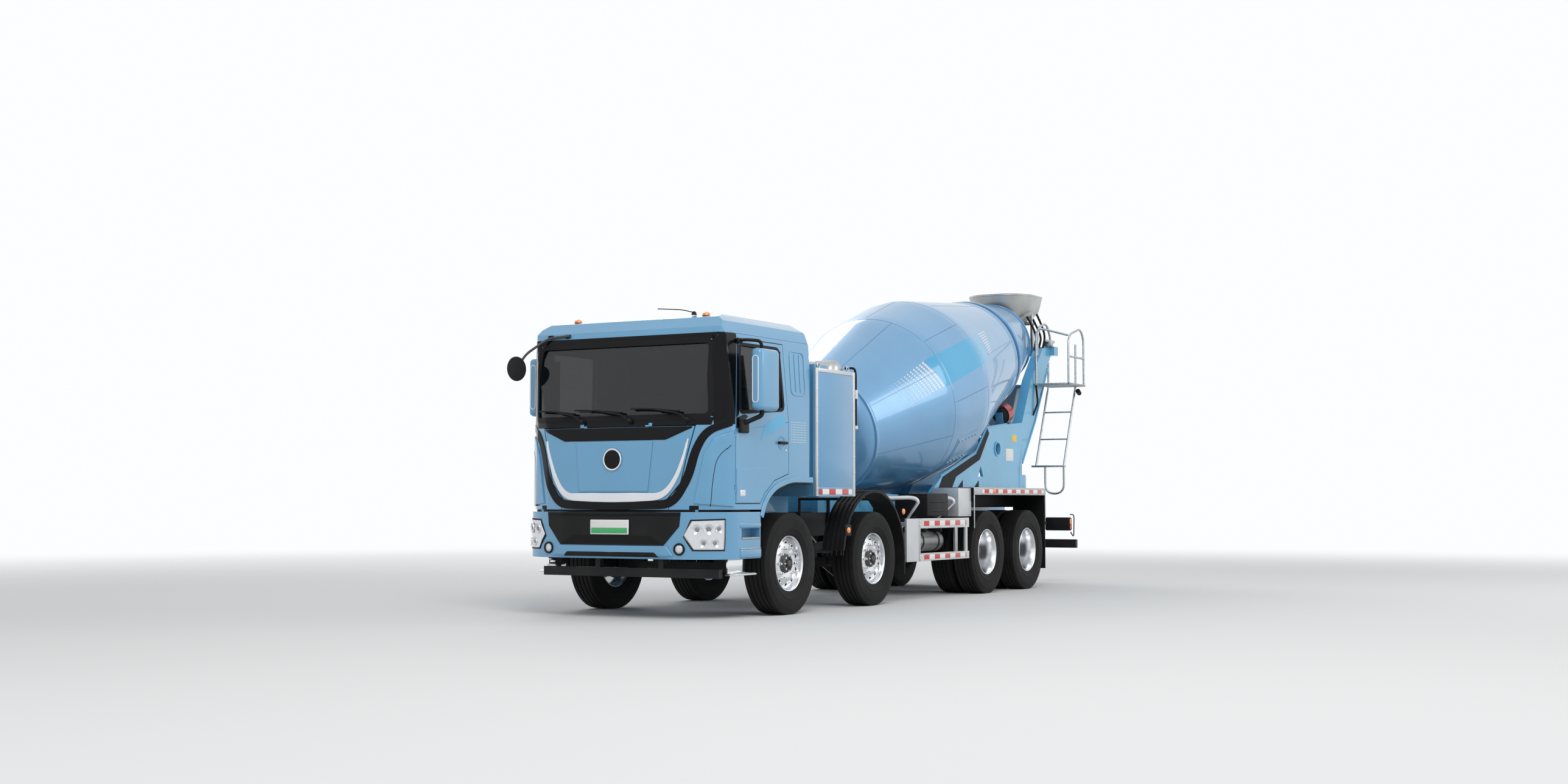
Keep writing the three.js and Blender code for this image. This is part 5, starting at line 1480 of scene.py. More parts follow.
@dataclass
class Drum:
    """The mixing drum: smooth cones, seams, track ring, banner film and hatch.

    A station s runs along the drum's axis. An angle runs from the top towards the truck's left.
    """

    tilt: float = math.radians(15.63)
    height: float = 1.194
    body: str = "mixing_drum"

    def axis(self) -> np.ndarray:
        """The axis direction, rearwards and up."""
        return np.array([0, math.cos(self.tilt), math.sin(self.tilt)])

    def origin(self) -> np.ndarray:
        """Where the axis crosses the first axle's station."""
        return truck(0, 0, self.height)

    def profile(self) -> np.ndarray:
        """Outline as (s, r): flange, elliptical head, two cones with rounded seams, neck and mouth.

        Returns:
            The points, from the flange to the mouth.
        """
        t = np.linspace(0, np.pi / 2, 14)
        head = np.stack([2.8 + 0.229 * (1 - np.cos(t)), 0.17 + 0.582 * np.sin(t)], -1)
        cones = smooth_path([(3.029, 0.752, 0), (3.06, 0.765, 0), (4.56, 1.134, 0), (5.512, 1.188, 0),
                             (7.403, 0.814, 0), (8.5, 0.578, 0), (8.555, 0.569, 0)], 0.16, 8)[:, :2]
        return np.vstack([[[2.7555, 0.0], [2.7555, 0.17], [2.8, 0.17]], head, cones])

    def radius(self, s: np.ndarray) -> np.ndarray:
        """Radius of the shell at stations past the head."""
        line = self.profile()[17:]
        return np.interp(s, line[:, 0], line[:, 1])

    def point(self, s: np.ndarray, angle: np.ndarray, out: float = 0.0) -> np.ndarray:
        """Place on the shell: the angle runs from the top towards the truck's left.

        Args:
            s: the station.
            angle: the angle in radians.
            out: how far it stands proud.

        Returns:
            The places.
        """
        r = self.radius(s) + out
        x, h = r * np.sin(angle), r * np.cos(angle)
        y = s * math.cos(self.tilt) - h * math.sin(self.tilt)
        z = s * math.sin(self.tilt) + h * math.cos(self.tilt)
        return self.origin() + np.stack([x, y, z], -1)

    def patch(self, corners: Line, out: float, rows: int = 24,
              columns: int = 24) -> Mesh:
        """Film between four corners given as (station, degrees), blended across both ways.

        Args:
            corners: four (station, degrees) pairs.
            out: how far it stands proud.
            rows: points one way.
            columns: points the other way.

        Returns:
            The film.
        """
        a, b, c, d = (np.array(k, float) for k in corners)
        u = np.linspace(0, 1, rows)[:, None, None]
        v = np.linspace(0, 1, columns)[None, :, None]
        places = (a * (1 - u) + b * u) * (1 - v) + (d * (1 - u) + c * u) * v
        surface = self.point(places[..., 0], np.radians(places[..., 1]))
        return shell(surface, out, 0.0005, self.origin() + self.axis() * 5.5)

    def film(self, side: int, corners: Line, out: float, rows: int = 24, columns: int = 24) -> Mesh:
        """Film on one flank: the same as patch, with its angles turned round on the truck's right."""
        return self.patch([(s, side * a) for s, a in corners], out, rows, columns)

    def weld(self, s: float, width: float, height: float) -> Mesh:
        """Low round bead around the shell at a station.

        Args:
            s: the station.
            width: its width.
            height: its height.

        Returns:
            The bead.
        """
        r = float(self.radius(np.array(s)))
        half = width / 2
        outline = [(s - half, r - 0.006), (s - half, r), (s - half * 0.5, r + height * 0.8),
                   (s, r + height), (s + half * 0.5, r + height * 0.8), (s + half, r),
                   (s + half, r - 0.006)]
        return revolved(outline, self.origin(), self.axis(), 128, ring=True)

    def shell(self) -> None:
        """Shell outside and inside, thick as a plate at the mouth."""
        outside = self.profile()
        inside = outside[::-1][:-2] - [0, 0.012]
        inside = inside[inside[:, 0] > 2.81]
        outline = np.vstack([outside, inside, [[2.84, 0.0]]])
        make("drum_shell", revolved(outline.tolist(), self.origin(), self.axis(), 160), self.body,
             Paint.DRUM, smooth=40, replaces=["drum"])
        rim = revolved([(3.0, 0.748), (3.005, 0.772), (3.03, 0.78), (3.055, 0.776), (3.06, 0.76)],
                       self.origin(), self.axis(), 128, ring=True)
        lip = revolved([(8.535, 0.57), (8.535, 0.585), (8.553, 0.588), (8.5555, 0.58), (8.5555, 0.558)],
                       self.origin(), self.axis(), 96, ring=True)
        beads = [self.weld(s, 0.03, 0.0035) for s in (4.56, 5.512)] + [self.weld(7.9, 0.022, 0.003)]
        make("drum_beads", joined([rim, lip, *beads]), self.body, Paint.DRUM, smooth=50)
        seams = []
        for s0, s1, angles in ((3.08, 4.55, (20, 66, 112, 158, 204, 250, 296, 342)),
                               (4.57, 5.5, (45, 90, 135, 180, 225, 270, 315, 360)),
                               (5.53, 7.34, (22, 72, 122, 172, 222, 272, 322))):
            for angle in angles:
                seams.append(self.patch([(s0, angle - 0.16), (s1, angle - 0.16), (s1, angle + 0.16),
                                         (s0, angle + 0.16)], 0.0012, 14, 2))
        make("drum_seams", joined(seams), self.body, Paint.SEAM)

    def ring(self) -> None:
        """Track ring with bevelled edges, its dark flank and the stiffening collar ahead of it."""
        ring = [(7.348, 0.79), (7.348, 0.816), (7.356, 0.8235), (7.45, 0.8235), (7.458, 0.816),
                (7.458, 0.79)]
        make("track_ring", revolved(ring, self.origin(), self.axis(), 160, ring=True), self.body,
             Paint.DRUM, smooth=30)
        dark = [(7.459, 0.79), (7.459, 0.822), (7.474, 0.822), (7.478, 0.79)]
        make("ring_flank", revolved(dark, self.origin(), self.axis(), 160, ring=True), self.body,
             Paint.SEAL)
        collar = [(7.6, 0.7), (7.6, 0.792), (7.612, 0.8), (7.64, 0.8), (7.652, 0.79), (7.66, 0.7)]
        make("drum_collar", revolved(collar, self.origin(), self.axis(), 128, ring=True), self.body,
             Paint.DRUM, smooth=30)

    def films(self) -> None:
        """Blank banner, the halftone ahead of it and the ticks behind it, on both flanks."""
        for name, side in SIDES:
            make(f"banner_{name}", self.film(side, [(4.3, 56), (5.95, 57), (5.85, 75), (4.45, 78)], 0.0014,
                                             60, 24), self.body, Paint.CYAN, slot="drum_paint")
            ticks = [self.film(side, [(5.99, 56.2 + 1.9 * k), (6.36 - 0.03 * k, 55.4 + 1.9 * k),
                           (6.36 - 0.03 * k, 55.8 + 1.9 * k), (5.99, 57.0 + 1.9 * k)], 0.0014, 6,
                          2) for k in range(9)]
            rows = np.arange(14)
            dots = []
            for i in rows:
                for j in rows[:12]:
                    s, angle = 4.26 - 0.07 * i + 0.012 * j, 57 + 1.75 * j + 0.3 * i
                    size = 0.022 * (1 - i / 16)
                    wide = math.degrees(size / 1.1)
                    dots.append(self.film(side, [(s, angle - wide), (s + size, angle), (s, angle + wide),
                                      (s - size, angle)], 0.0012, 2, 2))
            make(f"halftone_{name}", joined(dots + ticks), self.body, Paint.WHITE, slot="drum_paint")

    def hatch(self) -> None:
        """Bolted cleaning hatch on the wide course, away from the banner."""
        plate = self.patch([(4.78, 118), (5.28, 118), (5.28, 138), (4.78, 138)], 0.012, 16, 16)
        rim = self.patch([(4.74, 116.5), (5.32, 116.5), (5.32, 139.5), (4.74, 139.5)], 0.006, 16, 16)
        make("drum_hatch", joined([plate, rim]), self.body, Paint.DRUM, 0.003)
        bolts = []
        for s in np.linspace(4.8, 5.26, 6):
            for angle in (119.5, 136.5):
                place = self.point(np.array(s), np.radians(angle), 0.011)
                bolts.append(hexagon_nut(place, self.radial(angle), 0.014, 0.012))
        make("hatch_bolts", joined(bolts), self.body, Paint.ZINC)

    def radial(self, degrees: float) -> np.ndarray:
        """Outward direction at an angle from the top."""
        a = math.radians(degrees)
        return np.array([math.sin(a), -math.cos(a) * math.sin(self.tilt),
                         math.cos(a) * math.cos(self.tilt)])

    def drive(self) -> None:
        """Bolts round the drive flange."""
        bolts = [hexagon_nut(self.origin() + self.axis() * 2.8 + self.radial(30 * k) * 0.15, -self.axis(),
                             0.014, 0.014) for k in range(12)]
        make("flange_bolts", joined(bolts), self.body, Paint.ZINC)

    def rollers(self) -> None:
        """Crowned steel rollers with a hub each, and their covers on the frame."""
        reach, angle = 0.9495, math.radians(32)
        for name, side in SIDES:
            x, h = side * reach * math.sin(angle), -reach * math.cos(angle)
            centre = self.origin() + self.axis() * 7.403 + np.array([x, -h * math.sin(self.tilt),
                                                                     h * math.cos(self.tilt)])
            outline = [(-0.09, 0.0), (-0.09, 0.036), (-0.068, 0.036), (-0.066, 0.075), (-0.055, 0.08),
                       (-0.055, 0.1), (-0.065, 0.106), (-0.063, 0.121), (-0.055, 0.125), (0.055, 0.125),
                       (0.063, 0.121), (0.065, 0.106), (0.055, 0.1), (0.055, 0.08), (0.066, 0.075),
                       (0.068, 0.036), (0.09, 0.036), (0.09, 0.0)]
            make(f"roller_drum_{name}", revolved(outline, centre, self.axis(), 64), f"{name}_roller",
                 Paint.HUB, slot="chassis_black", smooth=30, replaces=[f"roller_{name}"])
            up = np.array([0, -math.sin(self.tilt), math.cos(self.tilt)])
            cover = []
            for a in np.radians(np.linspace(-60, 70, 14)):
                direction = np.cos(a) * np.array([side, 0, 0]) + np.sin(a) * up
                cover.append([centre + self.axis() * s + direction * 0.142 for s in (-0.085, -0.04, 0.04,
                                                                                     0.085)])
            make(f"roller_cover_{name}", shell(np.array(cover), 0.006, 0.0, centre), "chassis",
                 Paint.RED_PAINT, 0.002)

    def build(self) -> None:
        """Build the drum and what turns with it."""
        self.shell()
        self.ring()
        self.films()
        self.hatch()
        self.drive()
        self.rollers()


@dataclass
class Bumper:
    """Painted bumper with its black grille, blank plate, lamps, steps, and a black sheet of painted shade
    in the gap under the cab.

    Every line in a field is (s, z) on the bumper's skin, from its outer end. A bowl is (s, z, radius).
    """

    body: str = "cab"
    grille: tuple[Line, Line] = (
        ((0.815, 1.07), (0.0, 1.07)), ((0.8, 0.93), (0.63, 0.74), (0.0, 0.74)))
    mouth: tuple[Line, Line] = (
        ((0.47, 0.835), (0.0, 0.835)), ((0.6, 0.755), (0.0, 0.755)))
    brow: Line = ((0.8, 1.052), (0.0, 1.052))
    lip: tuple[Line, Line] = (
        ((0.66, 0.735), (0.0, 0.735)), ((0.74, 0.635), (0.0, 0.635)))
    lip_inset: tuple[Line, Line] = (
        ((0.53, 0.672), (0.0, 0.672)), ((0.58, 0.632), (0.0, 0.632)))
    slat_count: int = 4
    lamp_inner: Line = ((0.93, 0.985), (0.852, 0.84), (0.95, 0.7))
    lamp_outer: Line = ((1.262, 0.995), (1.262, 0.84), (1.255, 0.7))
    lamp_middle: Place = (1.09, 0.845)
    bowls: Sequence[tuple[float, float, float]] = (
        (0.985, 0.9, 0.052), (1.1, 0.905, 0.052), (1.205, 0.905, 0.04), (1.05, 0.765, 0.042),
        (1.165, 0.765, 0.042))
    fog_place: Place = (0.8, 0.705)

    def panel(self, edges: tuple[Line, Line], out: float, along: int,
              across: int) -> Mesh:
        """Plate between two half lines and their reflections, as Skin.panel makes it."""
        return BUMPER_SKIN.panel(two_sided(edges[0]), two_sided(edges[1]), out, along, across)

    def face(self) -> None:
        """Painted body, black grille with slats in its mouth, and the lip under it."""
        skin = BUMPER_SKIN
        finished("bumper", Paint.CAB, 0.008)
        make("bumper_grille", self.panel(self.grille, 0.007, 90, 12), self.body, Paint.PLASTIC, 0.003)
        make("grille_mouth", self.panel(self.mouth, 0.0085, 60, 8), self.body, Paint.SEAL)
        slats = []
        for k in range(self.slat_count):
            reach, z = 0.5 + 0.03 * k, 0.82 - 0.018 * k
            slats.append(skin.band([(-reach, z), (reach, z)], [0.005], 0.012, 0.02, 40))
        make("grille_slats", joined(slats), self.body, Paint.PLASTIC)
        brow = skin.band(two_sided(self.brow), [0.022], 0.016, 0.05, 90)
        make("grille_brow", brow, self.body, Paint.GLOSS_BLACK, 0.003)
        make("bumper_lip", self.panel(self.lip, 0.016, 80, 10), self.body, Paint.CAB, 0.008)
        make("lip_inset", self.panel(self.lip_inset, 0.0175, 60, 5), self.body, Paint.PLASTIC, 0.001)
        # Black sheet behind the gap under the cab: painted shade, so that the gap shows dark instead of the
        # light beyond it.
        gap_shade = skin.panel([(-1.75, 1.045), (1.75, 1.045)], [(-1.75, 1.135), (1.75, 1.135)], -0.045, 120,
                             4, 0.06)
        make("gap_shade_sheet", gap_shade, self.body, Paint.SEAL)

    def plate(self) -> None:
        """Blank number plate: a bright carrier, a white plate and a green band on it."""
        y = BUMPER_SKIN.at(0.0, 0.9)[1]
        carrier = rounded_box((-0.235, y - 0.022, 0.845), (0.235, y - 0.002, 0.995), 0.006)
        plate = rounded_box((-0.225, y - 0.0245, 0.852), (0.225, y - 0.0215, 0.988), 0.0012)
        green = rounded_box((-0.218, y - 0.0255, 0.858), (0.218, y - 0.0235, 0.914), 0.0008)
        make("plate_carrier", carrier, self.body, Paint.CHROME)
        make("blank_plate", plate, self.body, Paint.WHITE)
        make("plate_band", green, self.body, Paint.GREEN)

    def lamp_panel(self, side: int, grow: float, out: float, into: float = 0.004) -> Mesh:
        """Plate in the headlamp's outline: each corner moved away from the lamp's middle.

        Args:
            side: 1 on the left, -1 on the right.
            grow: how far each corner moves outwards, along s and z.
            out: how proud the plate stands.
            into: how far its back lies inside.

        Returns:
            The mesh.
        """
        middle_s, middle_z = self.lamp_middle
        inner, outer = ([(side * (s + grow * np.sign(s - middle_s)),
                          z + grow * np.sign(round(z - middle_z, 2))) for s,
                         z in line] for line in (self.lamp_inner, self.lamp_outer))
        return BUMPER_SKIN.panel(inner, outer, out, 30, 24, into)

    def headlamp(self, name: str, side: int) -> None:
        """Headlamp on one side: black frame, bright bed, five bowls with bulbs, and a clear cover.

        Args:
            name: left or right.
            side: 1 on the left, -1 on the right.
        """
        skin = BUMPER_SKIN
        make(f"headlamp_frame_{name}", self.lamp_panel(side, 0.012, 0.004), self.body, Paint.SEAL, 0.001)
        make(f"headlamp_bed_{name}", self.lamp_panel(side, -0.004, 0.007), self.body, Paint.CHROME, 0.001)
        bowls, bulbs = [], []
        for s, z, r in self.bowls:
            here = skin.at(side * s, z)
            along = skin.at(side * (s + 0.01), z) - here
            out = np.array([along[1], -along[0], 0.0]) * side
            out /= np.linalg.norm(out)
            here = here + out * 0.006
            bowl = [(0.0, r * 0.45), (0.001, r * 0.5), (0.012, r * 0.95), (0.013, r), (0.009, r * 1.03),
                    (0.0, r * 1.03)]
            bulb = [(0.0, r * 0.48), (0.006, r * 0.42), (0.011, r * 0.25), (0.012, 0.0)]
            bowls.append(revolved(bowl, here, out, 28, ring=True))
            bulbs.append(revolved(bulb, here, out, 20))
        make(f"headlamp_bowls_{name}", joined(bowls), self.body, Paint.CHROME, smooth=50)
        make(f"headlamp_bulbs_{name}", joined(bulbs), self.body, Paint.HUB, slot="glass", smooth=50)
        cover = self.lamp_panel(side, 0.0, 0.024, -0.02)
        make(f"headlamp_cover_{name}", cover, self.body, Paint.COVER, 0.002)

    def fog_lamp(self, name: str, side: int) -> None:
        """Round fog lamp under the headlamp: a black ring and a clear lens.

        Args:
            name: left or right.
            side: 1 on the left, -1 on the right.
        """
        s, z = self.fog_place
        here = BUMPER_SKIN.at(side * s, z)
        out = (side * 0.12, -1, 0)
        ring = [(0.0, 0.046), (0.014, 0.046), (0.018, 0.052), (0.014, 0.06), (0.0, 0.062)]
        lens = [(0.0, 0.047), (0.008, 0.044), (0.012, 0.025), (0.013, 0.0)]
        make(f"fog_ring_{name}", revolved(ring, here, out, 32, ring=True), self.body, Paint.PLASTIC,
             smooth=50)
        make(f"fog_lens_{name}", revolved(lens, here, out, 28), self.body, Paint.CLEAR, smooth=60)

    def steps(self, name: str, side: int) -> None:
        """Ribbed treads in the step box, its lower step, and the bright bracket below.

        Args:
            name: left or right.
            side: 1 on the left, -1 on the right.
        """
        tread_ribs = [(1.13, 1.232, y, y + 0.014, 0.812, 0.82) for y in np.linspace(-0.97, -0.67, 9)]
        bracket_ribs = [(1.115, 1.215, y, y + 0.012, 0.452, 0.46) for y in np.linspace(-1.07, -0.71, 10)]
        pieces = (("treads", Paint.ZINC, None, 35.0, ((0.004, [(1.125, 1.236, -0.985, -0.64, 0.802, 0.814),
                                                               (1.12, 1.243, -1.02, -0.625, 0.7, 0.712)]),
                                                      (0.002, tread_ribs))),
                  ("lower", Paint.CAB, None, 50.0, ((0.014, [(1.2, 1.245, -1.03, -0.622, 0.612, 0.702)]),
                                                    (0.01, [(1.215, 1.24, -1.05, -0.622, 0.915, 0.965)]))),
                  ("bracket", Paint.CHROME, "galvanised", 35.0,
                   ((0.004, [(1.092, 1.222, -1.088, -0.682, 0.4375, 0.4545), (1.096, 1.116, -1.07, -0.69,
                                                                              0.445, 0.612)]),
                    (0.002, bracket_ribs))),)
        for part, paint, slot, smooth, groups in pieces:
            mesh = joined([boxes_on(side, boxes, radius) for radius, boxes in groups])
            make(f"step_{part}_{name}", mesh, self.body, paint, slot=slot, smooth=smooth)

    def build(self) -> None:
        """Build the bumper."""
        self.face()
        self.plate()
        for name, side in SIDES:
            self.headlamp(name, side)
            self.fog_lamp(name, side)
            self.steps(name, side)


@dataclass(frozen=True)
class Bars:
    """One piece of round-edged boxes: (x0, x1, y0, y1, z0, z1) from the ground under the first axle.

    Attributes:
        name: the piece's name.
        paint: its finish.
        radius: radius of every edge.
        boxes: the boxes on the truck's left.
        slot: the record's material slot, if it isn't the finish's usual one.
        sides: 1 for the left, -1 for its mirror place on the right.
        smooth: the angle in degrees over which an edge stays sharp.
    """

    name: str
    paint: Paint
    radius: float
    boxes: Sequence[Box]
    slot: str | None = None
    sides: Sequence[int] = (1, -1)
    smooth: float = 35.0

    def build(self, body: str) -> None:
        """Make the piece and let it ride on a body."""
        mesh = joined([boxes_on(side, [box], self.radius) for box in self.boxes for side in self.sides])
        make(self.name, mesh, body, self.paint, smooth=self.smooth, slot=self.slot)


def pipes(lines: Sequence[Route], radius: float, bend: float = 0.06, sides: int = 12) -> Mesh:
    """Bent tubes: a circle carried along each polyline, with its corners rounded.

    Args:
        lines: the polylines, from the ground under the first axle.
        radius: the tubes' radius.
        bend: how far before and after a corner its bend starts.
        sides: steps around.

    Returns:
        The tubes as one mesh.
    """
    return joined([tube([truck(*point) for point in line], radius, bend, sides) for line in lines])


def strap(centre: Sequence[float], axis: Point, radius: float, half: float) -> Mesh:
    """Flat ring round a tank: a rectangle of twice a half width by 8 mm, turned about the axis."""
    low, high = radius - 0.004, radius + 0.004
    return revolved([(-half, low), (-half, high), (half, high), (half, low)], centre, axis, 48, ring=True)


@dataclass
class Chassis:
    """Guards, fenders, tanks, boxes, marking tape and lamps along the frame."""

    body: str = "chassis"
    mid_fender: tuple[float, float, float] = (1.93, 0.531, 0.772)
    rib_x: Sequence[float] = (0.972, 1.03, 1.09, 1.15, 1.205, 1.233)
    tank_x: Sequence[float] = (0.9, 0.62)
    tank_y: tuple[float, float] = (3.45, 4.28)
    tank_radius: float = 0.125
    tank_z: float = 0.69
    strap_y: Sequence[float] = (3.66, 4.1)
    tube_y: Sequence[float] = (3.13, 4.16)
    guard_bolt_z: Sequence[float] = (0.5, 0.53, 0.9, 0.94)
    marker_places: Route = ((1.243, 1.27, 0.86), (1.239, 2.655, 1.06), (1.2465, 5.32, 1.31))
    rear_marker: Point = (1.1, 8.451, 0.57)
    lamp_arm: Route = ((0.42, 7.8, 0.92), (0.6, 8.05, 0.9), (0.85, 8.24, 0.86))
    lamp_guard: Route = ((1.185, 8.22, 0.74), (1.2, 8.3, 0.66), (1.2, 8.32, 0.99),
                                   (1.19, 8.2, 0.99))
    bars: Sequence[Bars] = (Bars("rear_arch_curtain", Paint.PLASTIC, 0.004,
                                 [(0.772, 0.786, 4.72, 7.08, 1.1, 1.352)]),
                            Bars("rear_fender_rail", Paint.ZINC, 0.003,
                                 [(1.236, 1.2445, 4.69, 7.12, 1.262, 1.358),
                                  (0.765, 1.243, 4.69, 7.12, 1.35, 1.357),
                                  (1.236, 1.2445, 4.688, 4.712, 0.84, 1.262),
                                  (1.236, 1.2445, 7.098, 7.122, 0.95, 1.262)]),
                            Bars("fender_tape", Paint.TAPE, 0.001,
                                 [(1.243, 1.2462, 4.95, 7.05, 1.285, 1.335)], "frame_paint"),
                            Bars("guard_tape", Paint.TAPE, 0.001,
                                 [(1.234, 1.2372, 3.22, 4.46, 0.885, 0.945),
                                  (1.234, 1.2372, 3.22, 4.46, 0.485, 0.54)], "galvanised"),
                            Bars("guard_posts", Paint.STEEL, 0.004,
                                 [(1.21, 1.2395, 3.085, 3.125, 0.47, 0.972),
                                  (1.205, 1.235, 4.13, 4.2, 0.555, 0.86)], "galvanised"),
                            Bars("tank_carrier", Paint.CHASSIS, 0.008,
                                 [(0.4305, 0.7, 3.6, 4.15, 0.86, 1.0),
                                  (0.4305, 1.06, 3.64, 3.68, 0.8, 0.88),
                                  (0.4305, 1.06, 4.08, 4.12, 0.8, 0.88)]),
                            Bars("control_box", Paint.PLASTIC, 0.012,
                                 [(0.75, 1.19, 3.42, 4.02, 1.0, 1.275),
                                  (0.78, 1.196, 3.5, 3.94, 1.05, 1.075),
                                  (0.78, 1.196, 3.5, 3.94, 1.16, 1.185)]),
                            Bars("control_box_feet", Paint.CHASSIS, 0.006,
                                 [(0.43, 0.8, 3.46, 3.52, 1.03, 1.09),
                                  (0.43, 0.8, 3.9, 3.96, 1.03, 1.09)]),
                            Bars("side_locker", Paint.LIGHT, 0.006,
                                 [(0.85, 1.215, 4.28, 4.66, 0.99, 1.345),
                                  (0.86, 1.219, 4.3, 4.64, 1.01, 1.325)]),
                            Bars("locker_feet", Paint.CHASSIS, 0.006,
                                 [(0.43, 0.9, 4.36, 4.44, 1.06, 1.12)]),
                            Bars("body_sill", Paint.FRAME, 0.006, [(0.74, 0.8, 2.85, 4.68, 1.232, 1.262)]),
                            Bars("sill_feet", Paint.FRAME, 0.004,
                                 [(0.42, 0.78, y, y + 0.06, 1.2, 1.242) for y in (3.0, 3.7, 4.4)]),
                            Bars("marker_bases", Paint.PLASTIC, 0.002,
                                 [(1.236, 1.243, 1.2, 1.34, 0.8, 0.92)]),
                            Bars("rear_lamp_housings", Paint.PLASTIC, 0.02,
                                 [(0.8, 1.18, 8.2, 8.29, 0.76, 0.95)], smooth=50),
                            Bars("rear_lamp_red", Paint.RED, 0.004,
                                 [(0.93, 1.17, 8.286, 8.296, 0.78, 0.93),
                                  (1.176, 1.184, 8.21, 8.28, 0.78, 0.84)]),
                            Bars("rear_lamp_amber", Paint.AMBER, 0.004,
                                 [(0.82, 0.92, 8.286, 8.296, 0.78, 0.93),
                                  (1.176, 1.184, 8.21, 8.28, 0.85, 0.93)]),
                            Bars("rear_bar_tape", Paint.TAPE, 0.0008,
                                 [(-1.0, 1.0, 8.4502, 8.4525, 0.555, 0.59)], "chassis_black", (1,)),)

    def fenders(self) -> None:
        """Mid and rear fenders, with ribs that follow the mid fenders' half circle."""
        for name, _ in SIDES:
            finished(f"mid_fender_{name}", Paint.PLASTIC, 0.006)
            finished(f"rear_fender_{name}", Paint.PLASTIC, 0.006)
        steps = 60
        angle = np.radians(np.linspace(4, 176, steps))
        middle_y, middle_z, radius = self.mid_fender
        y, z = middle_y - radius * np.cos(angle), middle_z + radius * np.sin(angle)
        section = rounded_rectangle(0.007, 0.005, 0.003, 2)
        ribs = []
        for x in self.rib_x:
            path = np.stack([np.full(steps, x), y, z], -1)
            ribs.append(sweep(section, path + [0, AXLE_1_Y, 0], (1, 0, 0)))
        make("mid_fender_ribs", both_sides(joined(ribs)), self.body, Paint.PLASTIC, smooth=60)

    def guards(self) -> None:
        """Side guards, the bent tubes above them and the bolts of their front posts."""
        for name, _ in SIDES:
            finished(f"side_guard_{name}", Paint.LIGHT, 0.006)
        lines = [[(1.2, y, 0.95), (1.2, y, 1.205), (1.13, y - 0.06, 1.225), (0.9, y - 0.36, 1.215),
                  (0.44, y - 0.42, 1.2)] for y in self.tube_y]
        make("guard_tubes", both_sides(pipes(lines, 0.024, 0.09)), self.body, Paint.LIGHT, smooth=60)
        bolts = [hexagon_nut(truck(1.2385, 3.105, z), (1, 0, 0), 0.011, 0.008) for z in self.guard_bolt_z]
        make("guard_bolts", both_sides(joined(bolts)), self.body, Paint.CHROME, slot="galvanised")

    def tanks(self) -> None:
        """Two brushed air tanks with dished ends, and their straps."""
        start, end = self.tank_y
        length, r = end - start, self.tank_radius
        dish = [(0.0, 0.0), (0.004, 0.05), (0.022, 0.1), (0.05, r)]
        outline = dish + [(length - s, q) for s, q in dish[::-1]]
        along = (0, 1, 0)
        tanks = [revolved(outline, truck(x, start, self.tank_z), along, 48) for x in self.tank_x]
        straps = [strap(truck(x, y, self.tank_z), along, r,
                        0.018) for x in self.tank_x for y in self.strap_y]
        shells = make("air_tank_shells", joined(tanks), self.body, Paint.STEEL, slot="galvanised",
                      smooth=40)
        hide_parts("air_tanks")
        make("air_tank_straps", joined(straps), self.body, Paint.CHASSIS, smooth=40)

    def lamps(self) -> None:
        """Amber markers on both sides and the rear bar, and the rear lamps' tubes."""
        side_lens = [(0.0, 0.034), (0.007, 0.034), (0.015, 0.026), (0.019, 0.0)]
        rear_lens = [(0.0, 0.036), (0.006, 0.036), (0.01, 0.02), (0.012, 0.0)]
        amber = [revolved(side_lens, truck(*place), (1, 0, 0), 24) for place in self.marker_places]
        amber.append(revolved(rear_lens, truck(*self.rear_marker), (0, 1, 0), 24))
        make("marker_lamps", both_sides(joined(amber)), self.body, Paint.AMBER, smooth=60)
        tubes = joined([pipes([self.lamp_arm], 0.02), pipes([self.lamp_guard], 0.008)])
        make("rear_lamp_arms", both_sides(tubes), self.body, Paint.CHASSIS, smooth=60)

    def build(self) -> None:
        """Build the chassis details."""
        self.fenders()
        self.guards()
        self.tanks()
        self.lamps()
        for piece in self.bars:
            piece.build(self.body)
        finished("chassis_frame", Paint.CHASSIS, 0.006)


